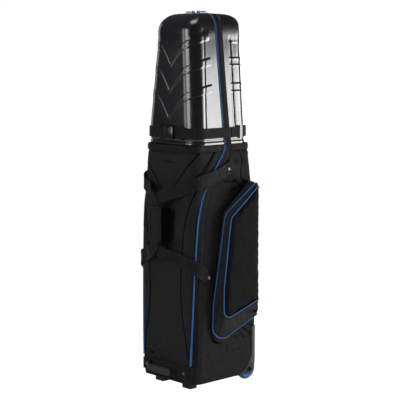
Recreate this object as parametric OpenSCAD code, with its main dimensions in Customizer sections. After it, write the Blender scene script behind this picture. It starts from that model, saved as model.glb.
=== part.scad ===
// Upright golf travel case: a fabric body that zips open, under a hard plastic top half.
// Millimetres. +Z is up, the floor is Z = 0, the front door faces -Y, the wheels are at +Y.

/* [Body] */
// Half of the fabric body's width, to its outer face
body_half = 144; // [140:1:150]
// Distance from the middle to the front face and to the back face
body_deep = 159; // [154:1:164]
// Height of the base's underside above the floor
body_floor = 24; // [22:1:28]
// Height of the fabric's upper edge
body_top = 838; // [830:1:845]
// Thickness of the padded fabric walls
fabric_wall = 6; // [4:1:8]

/* [Hard shell] */
// Half of the shell's width at the strap and near the crown
shell_half = 130; // [127:1:132]
shell_half_top = 101.5; // [98:0.5:106]
// Distance from the middle to the shell's front face at the strap
shell_front = 138; // [134:1:140]
// Distance from the middle to the shell's flat back
shell_rear = 130; // [126:1:132]
// Height of the crown above the floor
shell_crown = 1314; // [1290:1:1330]
// Thickness of the moulded shell
shell_wall = 3; // [2:0.5:4]

/* [Zip] */
// Width of each half of the zip tape
tape_w = 13; // [10:1:15]
// Width of the piping beside it
piping_w = 5; // [4:0.5:6]
// Height of the fold that the front door turns on
fold_z = 92; // [88:1:98]

/* [Wheels] */
// Radius and width of the tyres
wheel_r = 40; // [38:1:41]
wheel_w = 24; // [20:1:26]
// Where the axle is, behind the middle and above the floor
axle_y = 119; // [118:1:122]
// Middle of each wheel, from the centre plane
wheel_x = 124; // [123:1:125]
// Radius of the axles
axle_r = 4; // [3:0.5:5]

/* [Straps] */
// Width and thickness of the shell strap
strap_w = 38; // [30:1:40]
strap_t = 2.4; // [2:0.2:3]
// Height of the shell strap's middle
strap_z = 903; // [895:1:915]
// Width and thickness of the carry loops' webbing
loop_w = 48; // [40:1:50]
loop_t = 3; // [2:0.5:4]

/* [Pockets] */
// How far the left pocket sits in front of the right one
left_shift = 36; // [30:1:38]
// Thickness of the pockets' walls
pocket_wall = 3.5; // [3:0.5:5]

/* [Hidden] */

fabric_black = "#1c1d20";
shell_black = "#26272a";
webbing_black = "#232427";
piping_blue = "#2f6fb5";
moulded_black = "#2b2c2f";
steel = "#c9cbce";
lining_grey = "#4a4d52";

gap = 0.5;
// Where the side panels meet the back panel, and where they meet the strip under the door
seam_y = 126.5;
strip_y = -146;
far = 400;

// Sections of the body and the shell: height, half width, front, back, front and back corner radius
body_sections = [
    [body_floor, body_half - 5, body_deep - 5, body_deep - 5, 38, 28],
    [60, body_half, body_deep, body_deep, 40, 28],
    [560, body_half, body_deep, body_deep, 40, 28],
    [850, shell_half + 1.5, shell_front + 8, shell_rear + 7, 46, 40],
];
shell_sections = [
    [800, shell_half - 1, shell_front - 1, shell_rear - 1, 50, 50],
    [900, shell_half, shell_front, shell_rear, 50, 50],
    [shell_crown - 90, shell_half_top, shell_front - 17, shell_rear + 1, 50, 46],
    [shell_crown - 57, shell_half_top - 2.5, shell_front - 16, shell_rear, 47, 42],
    [shell_crown - 32, shell_half_top - 7.5, shell_front - 23, shell_rear - 2, 42, 36],
    [shell_crown - 17, shell_half_top - 15.5, shell_front - 38, shell_rear - 8, 36, 30],
    [shell_crown, 58, 58, 72, 30, 30],
];

// The zip's run in side view: height and distance from the middle, from the fold to the crown
zip_knots = [
    [fold_z, -153], [300, -147], [460, -141], [600, -130], [700, -100],
    [790, -36], [850, 2], [930, -3], [1222, -10], [1500, -10],
];
zip_heights = concat([for (i = [0:6]) fold_z + i * 84.67], [for (z = [620:18:962]) z], [1100, 1222, 1400]);

function knot_slope(i) =
    let (a = zip_knots[max(i - 1, 0)], b = zip_knots[min(i + 1, len(zip_knots) - 1)])
    (b[1] - a[1]) / (b[0] - a[0]);
function knot_below(z, i = 0) =
    i >= len(zip_knots) - 2 || z < zip_knots[i + 1][0] ? i : knot_below(z, i + 1);
// Cubic curve through the knots, with the slope at each knot set by its two neighbours
function zip_y(z) =
    let (i = knot_below(z), a = zip_knots[i], b = zip_knots[i + 1])
    let (span = b[0] - a[0], t = (z - a[0]) / span)
    (2 * t ^ 3 - 3 * t ^ 2 + 1) * a[1] + (t ^ 3 - 2 * t ^ 2 + t) * span * knot_slope(i)
    + (3 * t ^ 2 - 2 * t ^ 3) * b[1] + (t ^ 3 - t ^ 2) * span * knot_slope(i + 1);
// Point beside the zip's run, so far behind it, as [y, z]
function zip_side(z, behind) =
    let (s = (zip_y(z + 1) - zip_y(z - 1)) / 2)
    [zip_y(z), z] + behind * [1, -s] / norm([1, s]);

// Distances behind the zip's run at which each layer starts and ends
piping_back = piping_w / 2;
tape_front = piping_back + gap;
tape_middle = tape_front + tape_w;
tape_back = tape_middle + gap + tape_w;
panel_start = tape_back + gap;

/* Shapes in common */

corner_steps = 6;

// Outline of one section grown outwards by d: a rectangle with round corners, from its front left corner on
function ring(s, d) =
    let (front = max(s[4] + d, 2), back = max(s[5] + d, 2), half = s[1] + d)
    [for (k = [0:3])
        let (r = k < 2 ? front : back, x = k == 0 || k == 3 ? r - half : half - r)
        let (y = k < 2 ? r - s[2] - d : s[3] + d - r)
        for (i = [0:corner_steps])
            let (a = 180 + 90 * k + 90 * i / corner_steps)
            [x + r * cos(a), y + r * sin(a), s[0]]];

// Closed skin through a list of rings, from the lowest to the highest
module loft(rings) {
    n = len(rings[0]);
    top = (len(rings) - 1) * n;
    polyhedron([for (r = rings) each r], concat(
        [[for (i = [0:n - 1]) i]],
        [for (k = [0:len(rings) - 2]) for (i = [0:n - 1]) let (j = (i + 1) % n)
            each [[k * n + i, k * n + n + i, k * n + n + j], [k * n + i, k * n + n + j, k * n + j]]],
        [[for (i = [n - 1:-1:0]) top + i]]
    ));
}

// The body's volume, grown by d
module body_solid(d = 0)
    loft([for (s = body_sections) ring(s, d)]);

// The space inside the body's walls, which runs on past both ends
module body_space(d) {
    low = body_sections[0];
    high = body_sections[3];
    loft([
        ring([body_floor - 20, low[1], low[2], low[3], low[4], low[5]], d),
        ring(body_sections[1], d),
        ring(body_sections[2], d),
        ring([880, high[1] - 1.3, high[2] - 1.3, high[3] - 2.3, high[4], high[5]], d),
    ]);
}

// The shell grows sideways by d and its crown rises by d
module shell_solid(d = 0)
    loft([for (s = shell_sections)
        ring([s[0] + (s[0] > shell_crown - 60 ? d : 0), s[1], s[2], s[3], s[4], s[5]], d)]);

// A side-view outline, as [y, z] points, carried across the whole width
module across(points, x0 = -far, x1 = far)
    translate([x0, 0, 0])
        rotate([90, 0, 90])
            linear_extrude(x1 - x0)
                polygon(points);

// Everything in front of, or behind, a line beside the zip
module before_zip(d)
    across(concat([[-far, fold_z]], [for (z = zip_heights) zip_side(z, d)], [[-far, 1400]]));
module behind_zip(d)
    across(concat([[far, fold_z]], [for (z = zip_heights) zip_side(z, d)], [[far, 1400]]));
module beside_zip(d0, d1)
    across(concat(
        [for (z = zip_heights) zip_side(z, d0)],
        [for (i = [len(zip_heights) - 1:-1:0]) zip_side(zip_heights[i], d1)]
    ));

module slab(z0, z1, y0 = -far, y1 = far, x0 = -far, x1 = far)
    translate([x0, y0, z0])
        cube([x1 - x0, y1 - y0, z1 - z0]);

module on_each_side()
    for (side = [0, 1])
        mirror([side, 0, 0])
            children();

/* Rear lower corners, where the wheel housings take the place of fabric */
corner_y = 35;
corner_z = 115;
corner_r = 93;
housing_top = 195;

// Side-view outline of the corner that the housings fill, grown by d
function corner_outline(d = 0) = concat(
    [for (a = [-78:6:0]) [corner_y + (corner_r - d) * cos(a), corner_z + (corner_r - d) * sin(a)]],
    [[corner_y + corner_r - d, housing_top + d], [200, housing_top + d], [200, 0], [54, 0]]
);

/* Fabric and shell */

module body_wall()
    difference() {
        body_solid(0);
        body_space(-fabric_wall);
    }

module side_panel(side) {
    x0 = side > 0 ? 0 : -far;
    color(fabric_black)
        difference() {
            intersection() {
                body_wall();
                union() {
                    intersection() {
                        behind_zip(panel_start);
                        slab(fold_z, body_top, -far, seam_y, x0, x0 + far);
                    }
                    slab(body_floor, fold_z, strip_y + gap, seam_y, x0, x0 + far);
                }
            }
            across(corner_outline(1));
            handle_holes(side);
        }
}

module back_panel()
    color(fabric_black)
        difference() {
            intersection() {
                body_wall();
                slab(housing_top + 1, body_top, seam_y + gap, far);
            }
            slab(body_floor - 10, housing_top + 1, corner_y, far);
        }

module base_front_strip()
    color(fabric_black)
        difference() {
            intersection() {
                body_wall();
                slab(body_floor, fold_z - 1, -far, strip_y);
            }
            grab_holes();
        }

hem_low = body_top + 1;
hem_high = 861;

module hem_band()
    intersection() {
        difference() {
            loft([
                ring([hem_low - 5, shell_half + 2.5, shell_front + 9, shell_rear + 8, 46, 42], 0),
                ring([hem_high + 1, shell_half + 1.5, shell_front + 8, shell_rear + 7, 46, 42], 0),
            ]);
            shell_solid(0.4);
        }
        slab(hem_low, hem_high);
    }

module rear_hem()
    color(webbing_black)
        intersection() {
            hem_band();
            behind_zip(panel_start);
        }

module front_hem()
    color(webbing_black)
        intersection() {
            hem_band();
            before_zip(-piping_back - gap);
        }

shell_foot = body_top + 2;

module shell_skin(d0, d1, low = shell_foot)
    intersection() {
        difference() {
            shell_solid(d1);
            shell_solid(d0);
        }
        slab(low, 1400);
    }

module rear_shell()
    color(shell_black)
        intersection() {
            shell_skin(-shell_wall, 0);
            behind_zip(panel_start);
        }

module front_shell()
    color(shell_black)
        intersection() {
            shell_skin(-shell_wall, 0);
            before_zip(-piping_back - gap);
        }

module front_panel()
    color(fabric_black)
        intersection() {
            body_wall();
            before_zip(-piping_back - gap);
            slab(fold_z + 1, body_top);
        }

// A band beside the zip, over the body, the hem's step and the shell
module zip_band(d0, d1, depth, height) {
    intersection() {
        difference() {
            body_solid(height);
            body_space(-depth);
        }
        beside_zip(d0, d1);
        slab(fold_z + 1, hem_low);
    }
    intersection() {
        difference() {
            shell_solid(4);
            shell_solid(-depth);
        }
        beside_zip(d0, d1);
        slab(hem_low, hem_high);
    }
    intersection() {
        shell_skin(-depth, height, hem_high);
        beside_zip(d0, d1);
    }
}

module rear_zip_tape()
    color(webbing_black)
        zip_band(tape_middle + gap, tape_back, 2, 0.4);

module front_zip_tape()
    color(webbing_black)
        zip_band(tape_front, tape_middle, 2, 0.4);

module door_piping()
    color(piping_blue)
        zip_band(-piping_back, piping_back, 2, 2.5);

/* Base, wheels and feet */

// Plate with round corners that stands between two heights
module round_plate(half, front, back, r, z0, z1) {
    slab(z0, z1, -front + r, back - r, -half, half);
    slab(z0, z1, -front, back, -half + r, half - r);
    on_each_side()
        for (y = [-front + r, back - r])
            translate([half - r, y, z0])
                cylinder(h = z1 - z0, r = r, $fn = 48);
}

housing_in = 98;
board_t = 4;
foot_x = 72.5;
foot_y = -110;
screw_r = 2.5;
// Height at which a screw's head sits in its foot
screw_seat = 8;

module at_feet()
    on_each_side()
        translate([foot_x, foot_y, 0])
            children();

module base_board()
    color(moulded_black)
        difference() {
            round_plate(body_half - 12, body_deep - 12, body_deep - 12, 30, body_floor, body_floor + board_t);
            on_each_side()
                slab(0, 50, 50, far, housing_in - 1, far);
            at_feet()
                cylinder(h = 60, r = screw_r + 0.1, $fn = 32);
        }

module feet()
    color(moulded_black)
        at_feet()
            difference() {
                round_plate(23, 18, 18, 8, 0, body_floor);
                translate([0, 0, -1])
                    cylinder(h = 60, r = screw_r + 0.1, $fn = 32);
                translate([0, 0, -1])
                    cylinder(h = screw_seat + 1, r = 5.3, $fn = 32);
            }

module base_screws()
    color(steel)
        at_feet() {
            translate([0, 0, screw_seat - 0.5])
                cylinder(h = body_floor + board_t - screw_seat, r = screw_r, $fn = 32);
            translate([0, 0, screw_seat - 3.2])
                cylinder(h = 3, r = 5, $fn = 32);
        }

kick_rib_x = [-80, -40, 0, 40, 80];

module kick_plate() {
    half = housing_in - gap;
    color(moulded_black) {
        slab(body_floor, housing_top, body_deep - 3, body_deep + 1, -half, half);
        slab(body_floor, body_floor + board_t, body_deep - 11, body_deep - 3, -half, half);
        for (x = kick_rib_x)
            slab(body_floor + 12, housing_top - 12, body_deep + 1, body_deep + 4, x - 5, x + 5);
    }
}

axle_z = wheel_r;
well_r = wheel_r + 5;
well_half = wheel_w / 2 + 4;

module along_x(x0, x1, r, y = axle_y, z = axle_z)
    translate([x0, y, z])
        rotate([0, 90, 0])
            cylinder(h = x1 - x0, r = r, $fn = 64);

module wheel_housing()
    color(moulded_black)
        difference() {
            intersection() {
                body_solid(2.5);
                across(corner_outline(0), housing_in, far);
            }
            along_x(wheel_x - well_half, wheel_x + well_half, well_r);
            slab(0, axle_z, axle_y - well_r, axle_y + well_r, wheel_x - well_half, wheel_x + well_half);
            along_x(0, far, axle_r + 0.1);
            slab(axle_z + well_r + 5, housing_top - 4, corner_y + corner_r + 4, body_deep - 3,
                0, housing_in + 30);
        }

module axles()
    color(steel)
        on_each_side() {
            along_x(housing_in + 1, body_half + 3, axle_r);
            along_x(body_half + 2.7, body_half + 5.5, 7);
        }

bearing_r = 11;
bearing_w = 7;
hub_r = 24;

module tyre()
    color(piping_blue)
        translate([wheel_x, axle_y, axle_z])
            rotate([0, 90, 0])
                rotate_extrude($fn = 96)
                    intersection() {
                        translate([wheel_r - 13, 0])
                            circle(r = 13, $fn = 48);
                        translate([hub_r + 0.05, -wheel_w / 2])
                            square([wheel_r, wheel_w]);
                    }

module hub()
    color(moulded_black)
        difference() {
            along_x(wheel_x - 11.5, wheel_x + 11.5, hub_r);
            along_x(wheel_x - 12, wheel_x + 12, axle_r + 2);
            for (side = [-1, 1])
                along_x(wheel_x + side * 8 - 4, wheel_x + side * 8 + 4, bearing_r + 0.05);
        }

module bearings()
    color(steel)
        for (side = [-1, 1])
            difference() {
                along_x(wheel_x + side * 8 - bearing_w / 2, wheel_x + side * 8 + bearing_w / 2, bearing_r);
                along_x(wheel_x - 20, wheel_x + 20, axle_r + 0.05);
            }

/* Inside */

// Lowest and highest points of the stiffened back, and half its width
back_low = 50;
back_high = 815;
back_half = 90;

module back_board()
    color(moulded_black)
        intersection() {
            difference() {
                body_solid(-fabric_wall - gap);
                body_space(-fabric_wall - 3);
            }
            slab(back_low, back_high, 60, far, -back_half, back_half);
        }

padding_face = 17;

module back_padding()
    color(lining_grey)
        intersection() {
            difference() {
                body_solid(-fabric_wall - 3.5);
                body_space(-padding_face);
            }
            slab(back_low, back_high, 60, far, -back_half, back_half);
        }

module base_padding()
    color(lining_grey)
        round_plate(housing_in - 4, body_deep - 16, body_deep - 24, 20,
            body_floor + board_t + gap, body_floor + board_t + 12);

door_padding_half = 106;
door_padding_step = 560;

module door_padding()
    color(lining_grey)
        intersection() {
            difference() {
                body_solid(-fabric_wall - gap);
                body_space(-fabric_wall - 7);
            }
            union() {
                before_zip(-14);
                slab(fold_z, door_padding_step, -far, strip_y + 20, -door_padding_half, door_padding_half);
            }
            slab(fold_z + 20, back_high);
        }

// Height and back face of each inside strap, in front of the padding
inner_strap_at = [[300, body_deep - padding_face - 1], [620, body_deep - padding_face - 6]];
inner_strap_half = 19;

module inner_straps()
    color(webbing_black)
        for (s = inner_strap_at)
            slab(s[0] - inner_strap_half, s[0] + inner_strap_half, s[1] - 2, s[1], -128, 128);

module inner_buckles()
    color(moulded_black)
        for (s = inner_strap_at)
            difference() {
                slab(s[0] - 24, s[0] + 24, s[1] - 13, s[1] - 2 - gap, -36, 36);
                for (side = [-1, 1])
                    slab(s[0] - 12, s[0] + 12, s[1] - 15, s[1] - 11, side * 21 - 8, side * 21 + 8);
            }

/* Pockets */

// Outlines in side view, as circles [y, z, radius]: at the body, at the outer seam and round the flap
pocket_base = [[104, 722, 6], [16, 598, 40], [-24, 300, 42], [-31, 200, 42], [104, 238, 6]];
pocket_seam = [[102, 716, 6], [15, 599, 40], [-28, 300, 42], [-31, 225, 42], [102, 256, 6]];
pocket_face = [[104, 704, 5], [10, 592, 31], [-22, 360, 28], [-25, 286, 25], [104, 311, 5]];
flap_t = 5;
// Room between a flap with its piping and the gusset below
flap_room = 1;

// Distance of the outer seam and of the flap's face from the centre plane. The left pocket is fuller.
function seam_x(side, y) = (side > 0 ? 155 : 160) + (y + 70) * 0.198;
function face_x(side, y) = (side > 0 ? 188 : 205) + (y + 60) * 0.0714;

module disc(r, x0, x1)
    translate([x0, 0, 0])
        rotate([0, 90, 0])
            cylinder(h = x1 - x0, r = r, $fn = 32);

// The pocket's volume from inside the body's wall to under the flap, grown by d
module pocket_solid(side, d, in_x, out)
    hull() {
        for (c = pocket_base)
            translate([0, c[0], c[1]])
                disc(c[2] + d, in_x, body_half + gap);
        for (c = pocket_seam)
            translate([seam_x(side, c[0]), c[0], c[1]])
                disc(c[2] + d, 0, 0.1);
        for (c = pocket_face)
            translate([face_x(side, c[0]), c[0], c[1]])
                disc(c[2] + d, out - 0.1, out);
    }

module flap_solid(side, d, x0, x1)
    hull()
        for (c = pocket_face)
            translate([face_x(side, c[0]), c[0], c[1]])
                disc(c[2] + d, x0, x1);

module seam_solid(side, d, half)
    hull()
        for (c = pocket_seam)
            translate([seam_x(side, c[0]), c[0], c[1]])
                disc(c[2] + d, -half, half);

// Puts a right-hand pocket piece on its side of the case
module pocket_place(side)
    if (side > 0)
        children();
    else
        translate([0, -left_shift, 0])
            mirror([1, 0, 0])
                children();

module pocket_gusset(side)
    color(fabric_black)
        difference() {
            pocket_place(side)
                difference() {
                    pocket_solid(side, 0, 130, -flap_t - flap_room);
                    pocket_solid(side, -pocket_wall, 120, flap_t);
                }
            body_solid(gap);
        }

module pocket_flap(side)
    color(fabric_black)
        pocket_place(side)
            flap_solid(side, -0.2, -flap_t, 0);

module flap_piping(side)
    color(piping_blue)
        pocket_place(side)
            difference() {
                flap_solid(side, 2.3, -flap_t, 0);
                flap_solid(side, 0, -flap_t - 1, 1);
            }

module pocket_seam_piping()
    color(piping_blue)
        for (side = [1, -1])
            pocket_place(side)
                difference() {
                    seam_solid(side, 2.2, 2.2);
                    pocket_solid(side, 0.2, 120, -flap_t);
                }

// A pocket's zip slider, parked at the zip's back end, with its pull hanging from it
slider_y = 88;
slider_z = 271;
slider_out = 10.4;

function slider_x(side) = (seam_x(side, slider_y) + face_x(side, slider_y) - flap_t) / 2 + slider_out;

// Places a slider on the band between the flap and the outer seam
module at_pocket_slider(side)
    pocket_place(side)
        translate([slider_x(side), slider_y, slider_z])
            children();

module pocket_slider(side)
    color(steel)
        at_pocket_slider(side) {
            slab(-7, 7, -5, 5, -8, -3);
            slab(2, 5, -2, 2, -3, 0.5);
            slab(-6, -3, -2, 2, -3, 0.5);
            slab(-6, 5, -2, 2, -0.5, 0.5);
        }

module pocket_pull(side)
    color(steel)
        at_pocket_slider(side)
            slab(-34, -6.5, -3.5, 3.5, -0.8, 1.2);

/* Straps round the shell */

strap_clear = 3.2;

module strap_outline(d) {
    half = shell_half + strap_clear + d;
    front = shell_front + strap_clear + d;
    back = shell_rear + strap_clear + d;
    r = 50 + strap_clear + d;
    hull()
        for (side = [-1, 1]) {
            translate([side * (half - r), -front + r])
                circle(r = r, $fn = 64);
            translate([side * (half - r), back - r])
                circle(r = r, $fn = 64);
        }
}

module strap_ring()
    translate([0, 0, strap_z - strap_w / 2])
        linear_extrude(strap_w)
            difference() {
                strap_outline(strap_t);
                strap_outline(0);
            }

strap_joint_y = 30;
buckle_x = -5;
buckle_half_z = 25;
buckle_y = -shell_front - strap_clear - strap_t / 2;

module strap_rear()
    color(webbing_black)
        intersection() {
            strap_ring();
            slab(0, far * 4, strap_joint_y + gap, far);
        }

module strap_right()
    color(webbing_black)
        intersection() {
            strap_ring();
            slab(0, far * 4, -far, strap_joint_y - gap, buckle_x + 30, far);
        }

module strap_left()
    color(webbing_black)
        intersection() {
            strap_ring();
            slab(0, far * 4, -far, strap_joint_y - gap, -far, buckle_x - 30);
        }

// A frame that the strap runs through, its middle at a point on the strap
module strap_frame(length, height, thick)
    difference() {
        cube([length, thick, height], center = true);
        cube([length + 1, strap_t + 0.8, strap_w + 1], center = true);
    }

module strap_slide()
    color(moulded_black)
        translate([72, buckle_y, strap_z])
            strap_frame(8, 46, 6);

module strap_keepers()
    color(moulded_black)
        on_each_side()
            translate([shell_half + strap_clear + strap_t / 2, 78, strap_z])
                rotate([0, 0, 90])
                    strap_frame(12, 46, 6.4);

buckle_t = 12;
prong_t = 5;

module buckle_female()
    color(moulded_black)
        translate([buckle_x, buckle_y - 2, strap_z])
            difference() {
                slab(-buckle_half_z, buckle_half_z, -buckle_t / 2 - 1, buckle_t / 2 - 1, -40, 0);
                slab(-20, 20, -prong_t / 2 - 1, prong_t / 2, -27, 1);
                for (side = [-1, 1])
                    slab(side * 22 - 4, side * 22 + 4, -prong_t / 2 - 1, prong_t / 2, -24, -10);
                slab(-strap_w / 2 - gap, strap_w / 2 + gap, 0.4, 3.8, -41, -29);
            }

module buckle_male()
    color(moulded_black)
        translate([buckle_x, buckle_y - 2, strap_z])
            difference() {
                union() {
                    slab(-buckle_half_z, buckle_half_z, -buckle_t / 2 - 1, buckle_t / 2 - 1, gap, 38);
                    slab(-4, 4, -prong_t / 2, prong_t / 2 - gap, -22, 2);
                    for (side = [-1, 1]) {
                        slab(side * 14 - 2.5, side * 14 + 2.5, -prong_t / 2, prong_t / 2 - gap, -24, 2);
                        slab(side * 17 - 2.5, side * 17 + 2.5, -prong_t / 2, prong_t / 2 - gap, -23, -12);
                    }
                }
                slab(-strap_w / 2 - gap, strap_w / 2 + gap, 0.4, 3.8, 28, 39);
            }

/* Carry loops, their wrap and the grab handle */

// A flat band through a list of [centre, direction across its width, width]
module band(path, thick) {
    function unit(v) = v / norm(v);
    n = len(path);
    rings = [for (i = [0:n - 1])
        let (p = path[i][0], w = unit(path[i][1]) * path[i][2] / 2)
        let (run = path[min(i + 1, n - 1)][0] - path[max(i - 1, 0)][0])
        let (t = unit(cross(run, w)) * thick / 2)
        each [p - w - t, p + w - t, p + w + t, p - w + t]];
    sides = [for (i = [0:n - 2]) for (k = [0:3])
        [4 * i + k, 4 * i + (k + 1) % 4, 4 * i + 4 + (k + 1) % 4, 4 * i + 4 + k]];
    polyhedron(rings, concat([[3, 2, 1, 0]], sides, [[for (k = [0:3]) 4 * (n - 1) + k]]));
}

// Rivets that hold a loop's two ends, as [distance behind the middle, height], and the tail behind each
function loop_low_y(side) = side > 0 ? -90 : -106.5;
function loop_tail(side) = side > 0 ? 16 : 6;
loop_top = [15, 775];
loop_low_z = 403;
wrap_y = -206;
stack = 1.8;

// The route of a loop on the right-hand side, which the left one mirrors. The left one lies in front.
function loop_path(side) =
    let (y = wrap_y + side * stack, turn = y + side, w = loop_w)
    let (low = loop_low_y(side), tail = loop_tail(side))
    [
        [[139.4, 40, 789], [0, -0.4, 0.9], w],
        [[138, loop_top[0], loop_top[1]], [0, -0.38, 0.92], w],
        [[142.4, -51, 752], [0, -0.3, 0.95], w],
        [[142.6, -98, 742], [-0.05, -0.25, 0.96], w],
        [[139.8, -121.5, 736], [-0.07, -0.27, 0.96], w],
        [[131, -141, 729], [-0.17, -0.22, 0.96], w],
        [[114.5, -155.8, 721], [-0.22, -0.12, 0.96], w],
        [[95, -163, 713], [-0.28, -0.06, 0.95], w],
        [[68, -175, 703], [-0.4, 0, 0.92], w],
        [[40, turn + 7, 691], [-0.55, 0, 0.83], w],
        [[15, turn, 678], [-0.85, 0, 0.53], w],
        [[0, y, 656], [-1, 0, 0], w],
        [[0, y, 519], [-1, 0, 0], w],
        [[15, turn, 497], [-0.85, 0, -0.53], w],
        [[42, turn + 8, 483], [-0.5, 0, -0.86], w],
        [[76, -175, 471], [-0.3, 0, -0.95], w],
        [[100, -167, 463], [-0.25, 0, -0.96], w],
        [[119.5, -163.8, 456], [-0.24, -0.08, -0.96], w],
        [[137.4, -152.6, 446], [-0.25, -0.25, -0.94], w],
        [[147.6, -136.6, 435], [-0.22, -0.52, -0.82], w],
        [[149.2, -120, 421], [0, -0.55, -0.83], w],
        [[146.8, low, 403], [0, -0.42, -0.91], w],
        [[146.8, low + tail, 403 - tail * 0.5], [0, -0.4, -0.92], w],
    ];

handle_rivet_r = 3.5;

// Both rivet holes of a loop, along X
module handle_holes(side)
    for (p = [loop_top, [loop_low_y(side), loop_low_z]])
        translate([side > 0 ? 120 : -180, p[0], p[1]])
            rotate([0, 90, 0])
                cylinder(h = 60, r = handle_rivet_r + 0.2, $fn = 32);

module carry_loop(side)
    color(webbing_black)
        difference() {
            if (side > 0)
                band(loop_path(side), loop_t);
            else
                mirror([1, 0, 0])
                    band(loop_path(side), loop_t);
            handle_holes(side);
        }

module handle_rivet(x, y, z) {
    translate([x - 14, y, z])
        rotate([0, 90, 0])
            cylinder(h = 14, r = handle_rivet_r, $fn = 32);
    translate([x, y, z])
        rotate([0, 90, 0])
            cylinder(h = 2.5, r1 = 7, r2 = 4.5, $fn = 48);
    translate([x - 14, y, z])
        rotate([0, 90, 0])
            cylinder(h = 1.5, r = 7, $fn = 48);
}

module handle_rivets()
    color(steel)
        for (side = [1, -1])
            mirror([side > 0 ? 0 : 1, 0, 0]) {
                handle_rivet(140.6, loop_top[0], loop_top[1]);
                handle_rivet(150.4, loop_low_y(side), loop_low_z);
            }

wrap_half = 36;
wrap_thick = 28;
wrap_z0 = 522;
wrap_z1 = 653;

module wrap_outline(d) {
    hull()
        for (side = [-1, 1])
            translate([side * (wrap_half - wrap_thick / 2), 0])
                circle(r = wrap_thick / 2 + d, $fn = 32);
}

module handle_wrap()
    color(fabric_black)
        translate([0, wrap_y, wrap_z0])
            difference() {
                linear_extrude(wrap_z1 - wrap_z0)
                    wrap_outline(0);
                translate([-loop_w / 2 - 2, -6, -1])
                    cube([loop_w + 4, 12, 200]);
            }

grab_x = 98;
grab_z = 64;
grab_out = -190;
grab_half = 58;

module grab_webbing()
    color(webbing_black)
        difference() {
            band([
                [[-122, -157.6, grab_z], [0, 0, 1], 40],
                [[-108, -161.6, grab_z], [0, 0, 1], 40],
                [[-84, -161.5, grab_z], [0, 0, 1], 38],
                [[-70, -172, grab_z], [0, 0, 1], 26],
                [[-60, grab_out + 2, grab_z], [0, 0, 1], 20],
                [[-48, grab_out, grab_z], [0, 0, 1], 19],
                [[48, grab_out, grab_z], [0, 0, 1], 19],
                [[60, grab_out + 2, grab_z], [0, 0, 1], 20],
                [[70, -172, grab_z], [0, 0, 1], 26],
                [[84, -161.5, grab_z], [0, 0, 1], 38],
                [[108, -161.6, grab_z], [0, 0, 1], 40],
                [[122, -157.6, grab_z], [0, 0, 1], 40],
            ], 3);
            grab_holes();
        }

module grab_holes()
    on_each_side()
        translate([grab_x, 0, grab_z])
            rotate([90, 0, 0])
                cylinder(h = far, r = 3.2, $fn = 32);

// Distances from the middle to a grab rivet's inner and outer heads
grab_rivet_in = body_deep - fabric_wall - 1.7;
grab_rivet_out = body_deep + 4.2;

module grab_rivets()
    color(steel)
        on_each_side()
            translate([grab_x, 0, grab_z])
                rotate([90, 0, 0]) {
                    translate([0, 0, grab_rivet_in])
                        cylinder(h = grab_rivet_out - grab_rivet_in + 0.5, r = 3, $fn = 32);
                    translate([0, 0, grab_rivet_out])
                        cylinder(h = 2.4, r1 = 6.5, r2 = 4, $fn = 48);
                    translate([0, 0, grab_rivet_in])
                        cylinder(h = 1.5, r = 6.5, $fn = 48);
                }

grip_ribs = 9;
grip_rib_step = 12.75;

module grab_grip()
    color(moulded_black)
        difference() {
            union() {
                slab(grab_z - 12, grab_z + 12, grab_out - 8, grab_out + 8, -grab_half, grab_half);
                for (i = [0:grip_ribs - 1])
                    slab(grab_z - 13, grab_z + 13, grab_out - 9, grab_out + 9,
                        -grab_half + 2 + i * grip_rib_step, -grab_half + 6 + i * grip_rib_step);
            }
            slab(grab_z - 11, grab_z + 11, grab_out - 2, grab_out + 4.5, -far, far);
        }

/* Main zip sliders */

slider_meet = -20;
main_slider_y = zip_y(shell_crown) + tape_middle;

module main_slider(side)
    color(steel)
        translate([slider_meet + side * 13, main_slider_y, shell_crown]) {
            slab(0.9, 5, -6, 6, -7, 7);
            slab(5, 9, -1.5, 1.5, -5, -2);
            slab(5, 9, -1.5, 1.5, 3, 6);
            slab(9, 11, -1.5, 1.5, -5, 6);
        }

module main_pull(side)
    color(steel)
        translate([slider_meet + side * 13, main_slider_y, shell_crown])
            slab(6, 8, -4, 4, side > 0 ? 7.2 : -38, side > 0 ? 38 : -7.2);

rear_shell();
back_panel();
side_panel(1);  // side_panel_right
side_panel(-1);  // side_panel_left
rear_hem();
base_board();
base_front_strip();
kick_plate();
wheel_housing();  // wheel_housing_right
mirror([1, 0, 0]) wheel_housing();  // wheel_housing_left
axles();
feet();
base_screws();
rear_zip_tape();
back_board();
back_padding();
base_padding();
inner_straps();
inner_buckles();
pocket_gusset(1);  // pocket_gusset_right
pocket_gusset(-1);  // pocket_gusset_left
pocket_seam_piping();
strap_rear();
strap_keepers();
handle_rivets();
grab_rivets();
front_shell();
front_panel();
front_hem();
door_piping();
front_zip_tape();
door_padding();
tyre();  // tyre_right
hub();  // hub_right
bearings();  // bearings_right
mirror([1, 0, 0]) tyre();  // tyre_left
mirror([1, 0, 0]) hub();  // hub_left
mirror([1, 0, 0]) bearings();  // bearings_left
strap_right();
strap_slide();
buckle_male();
strap_left();
buckle_female();
carry_loop(1);  // loop_right
handle_wrap();
carry_loop(-1);  // loop_left
grab_webbing();
grab_grip();
main_slider(1);  // main_slider_right
main_pull(1);  // main_pull_right
main_slider(-1);  // main_slider_left
main_pull(-1);  // main_pull_left
pocket_flap(1);  // pocket_flap_right
flap_piping(1);  // flap_piping_right
pocket_flap(-1);  // pocket_flap_left
flap_piping(-1);  // flap_piping_left
pocket_slider(1);  // pocket_slider_right
pocket_pull(1);  // pocket_pull_right
pocket_slider(-1);  // pocket_slider_left
pocket_pull(-1);  // pocket_pull_left
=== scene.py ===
import math

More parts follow.
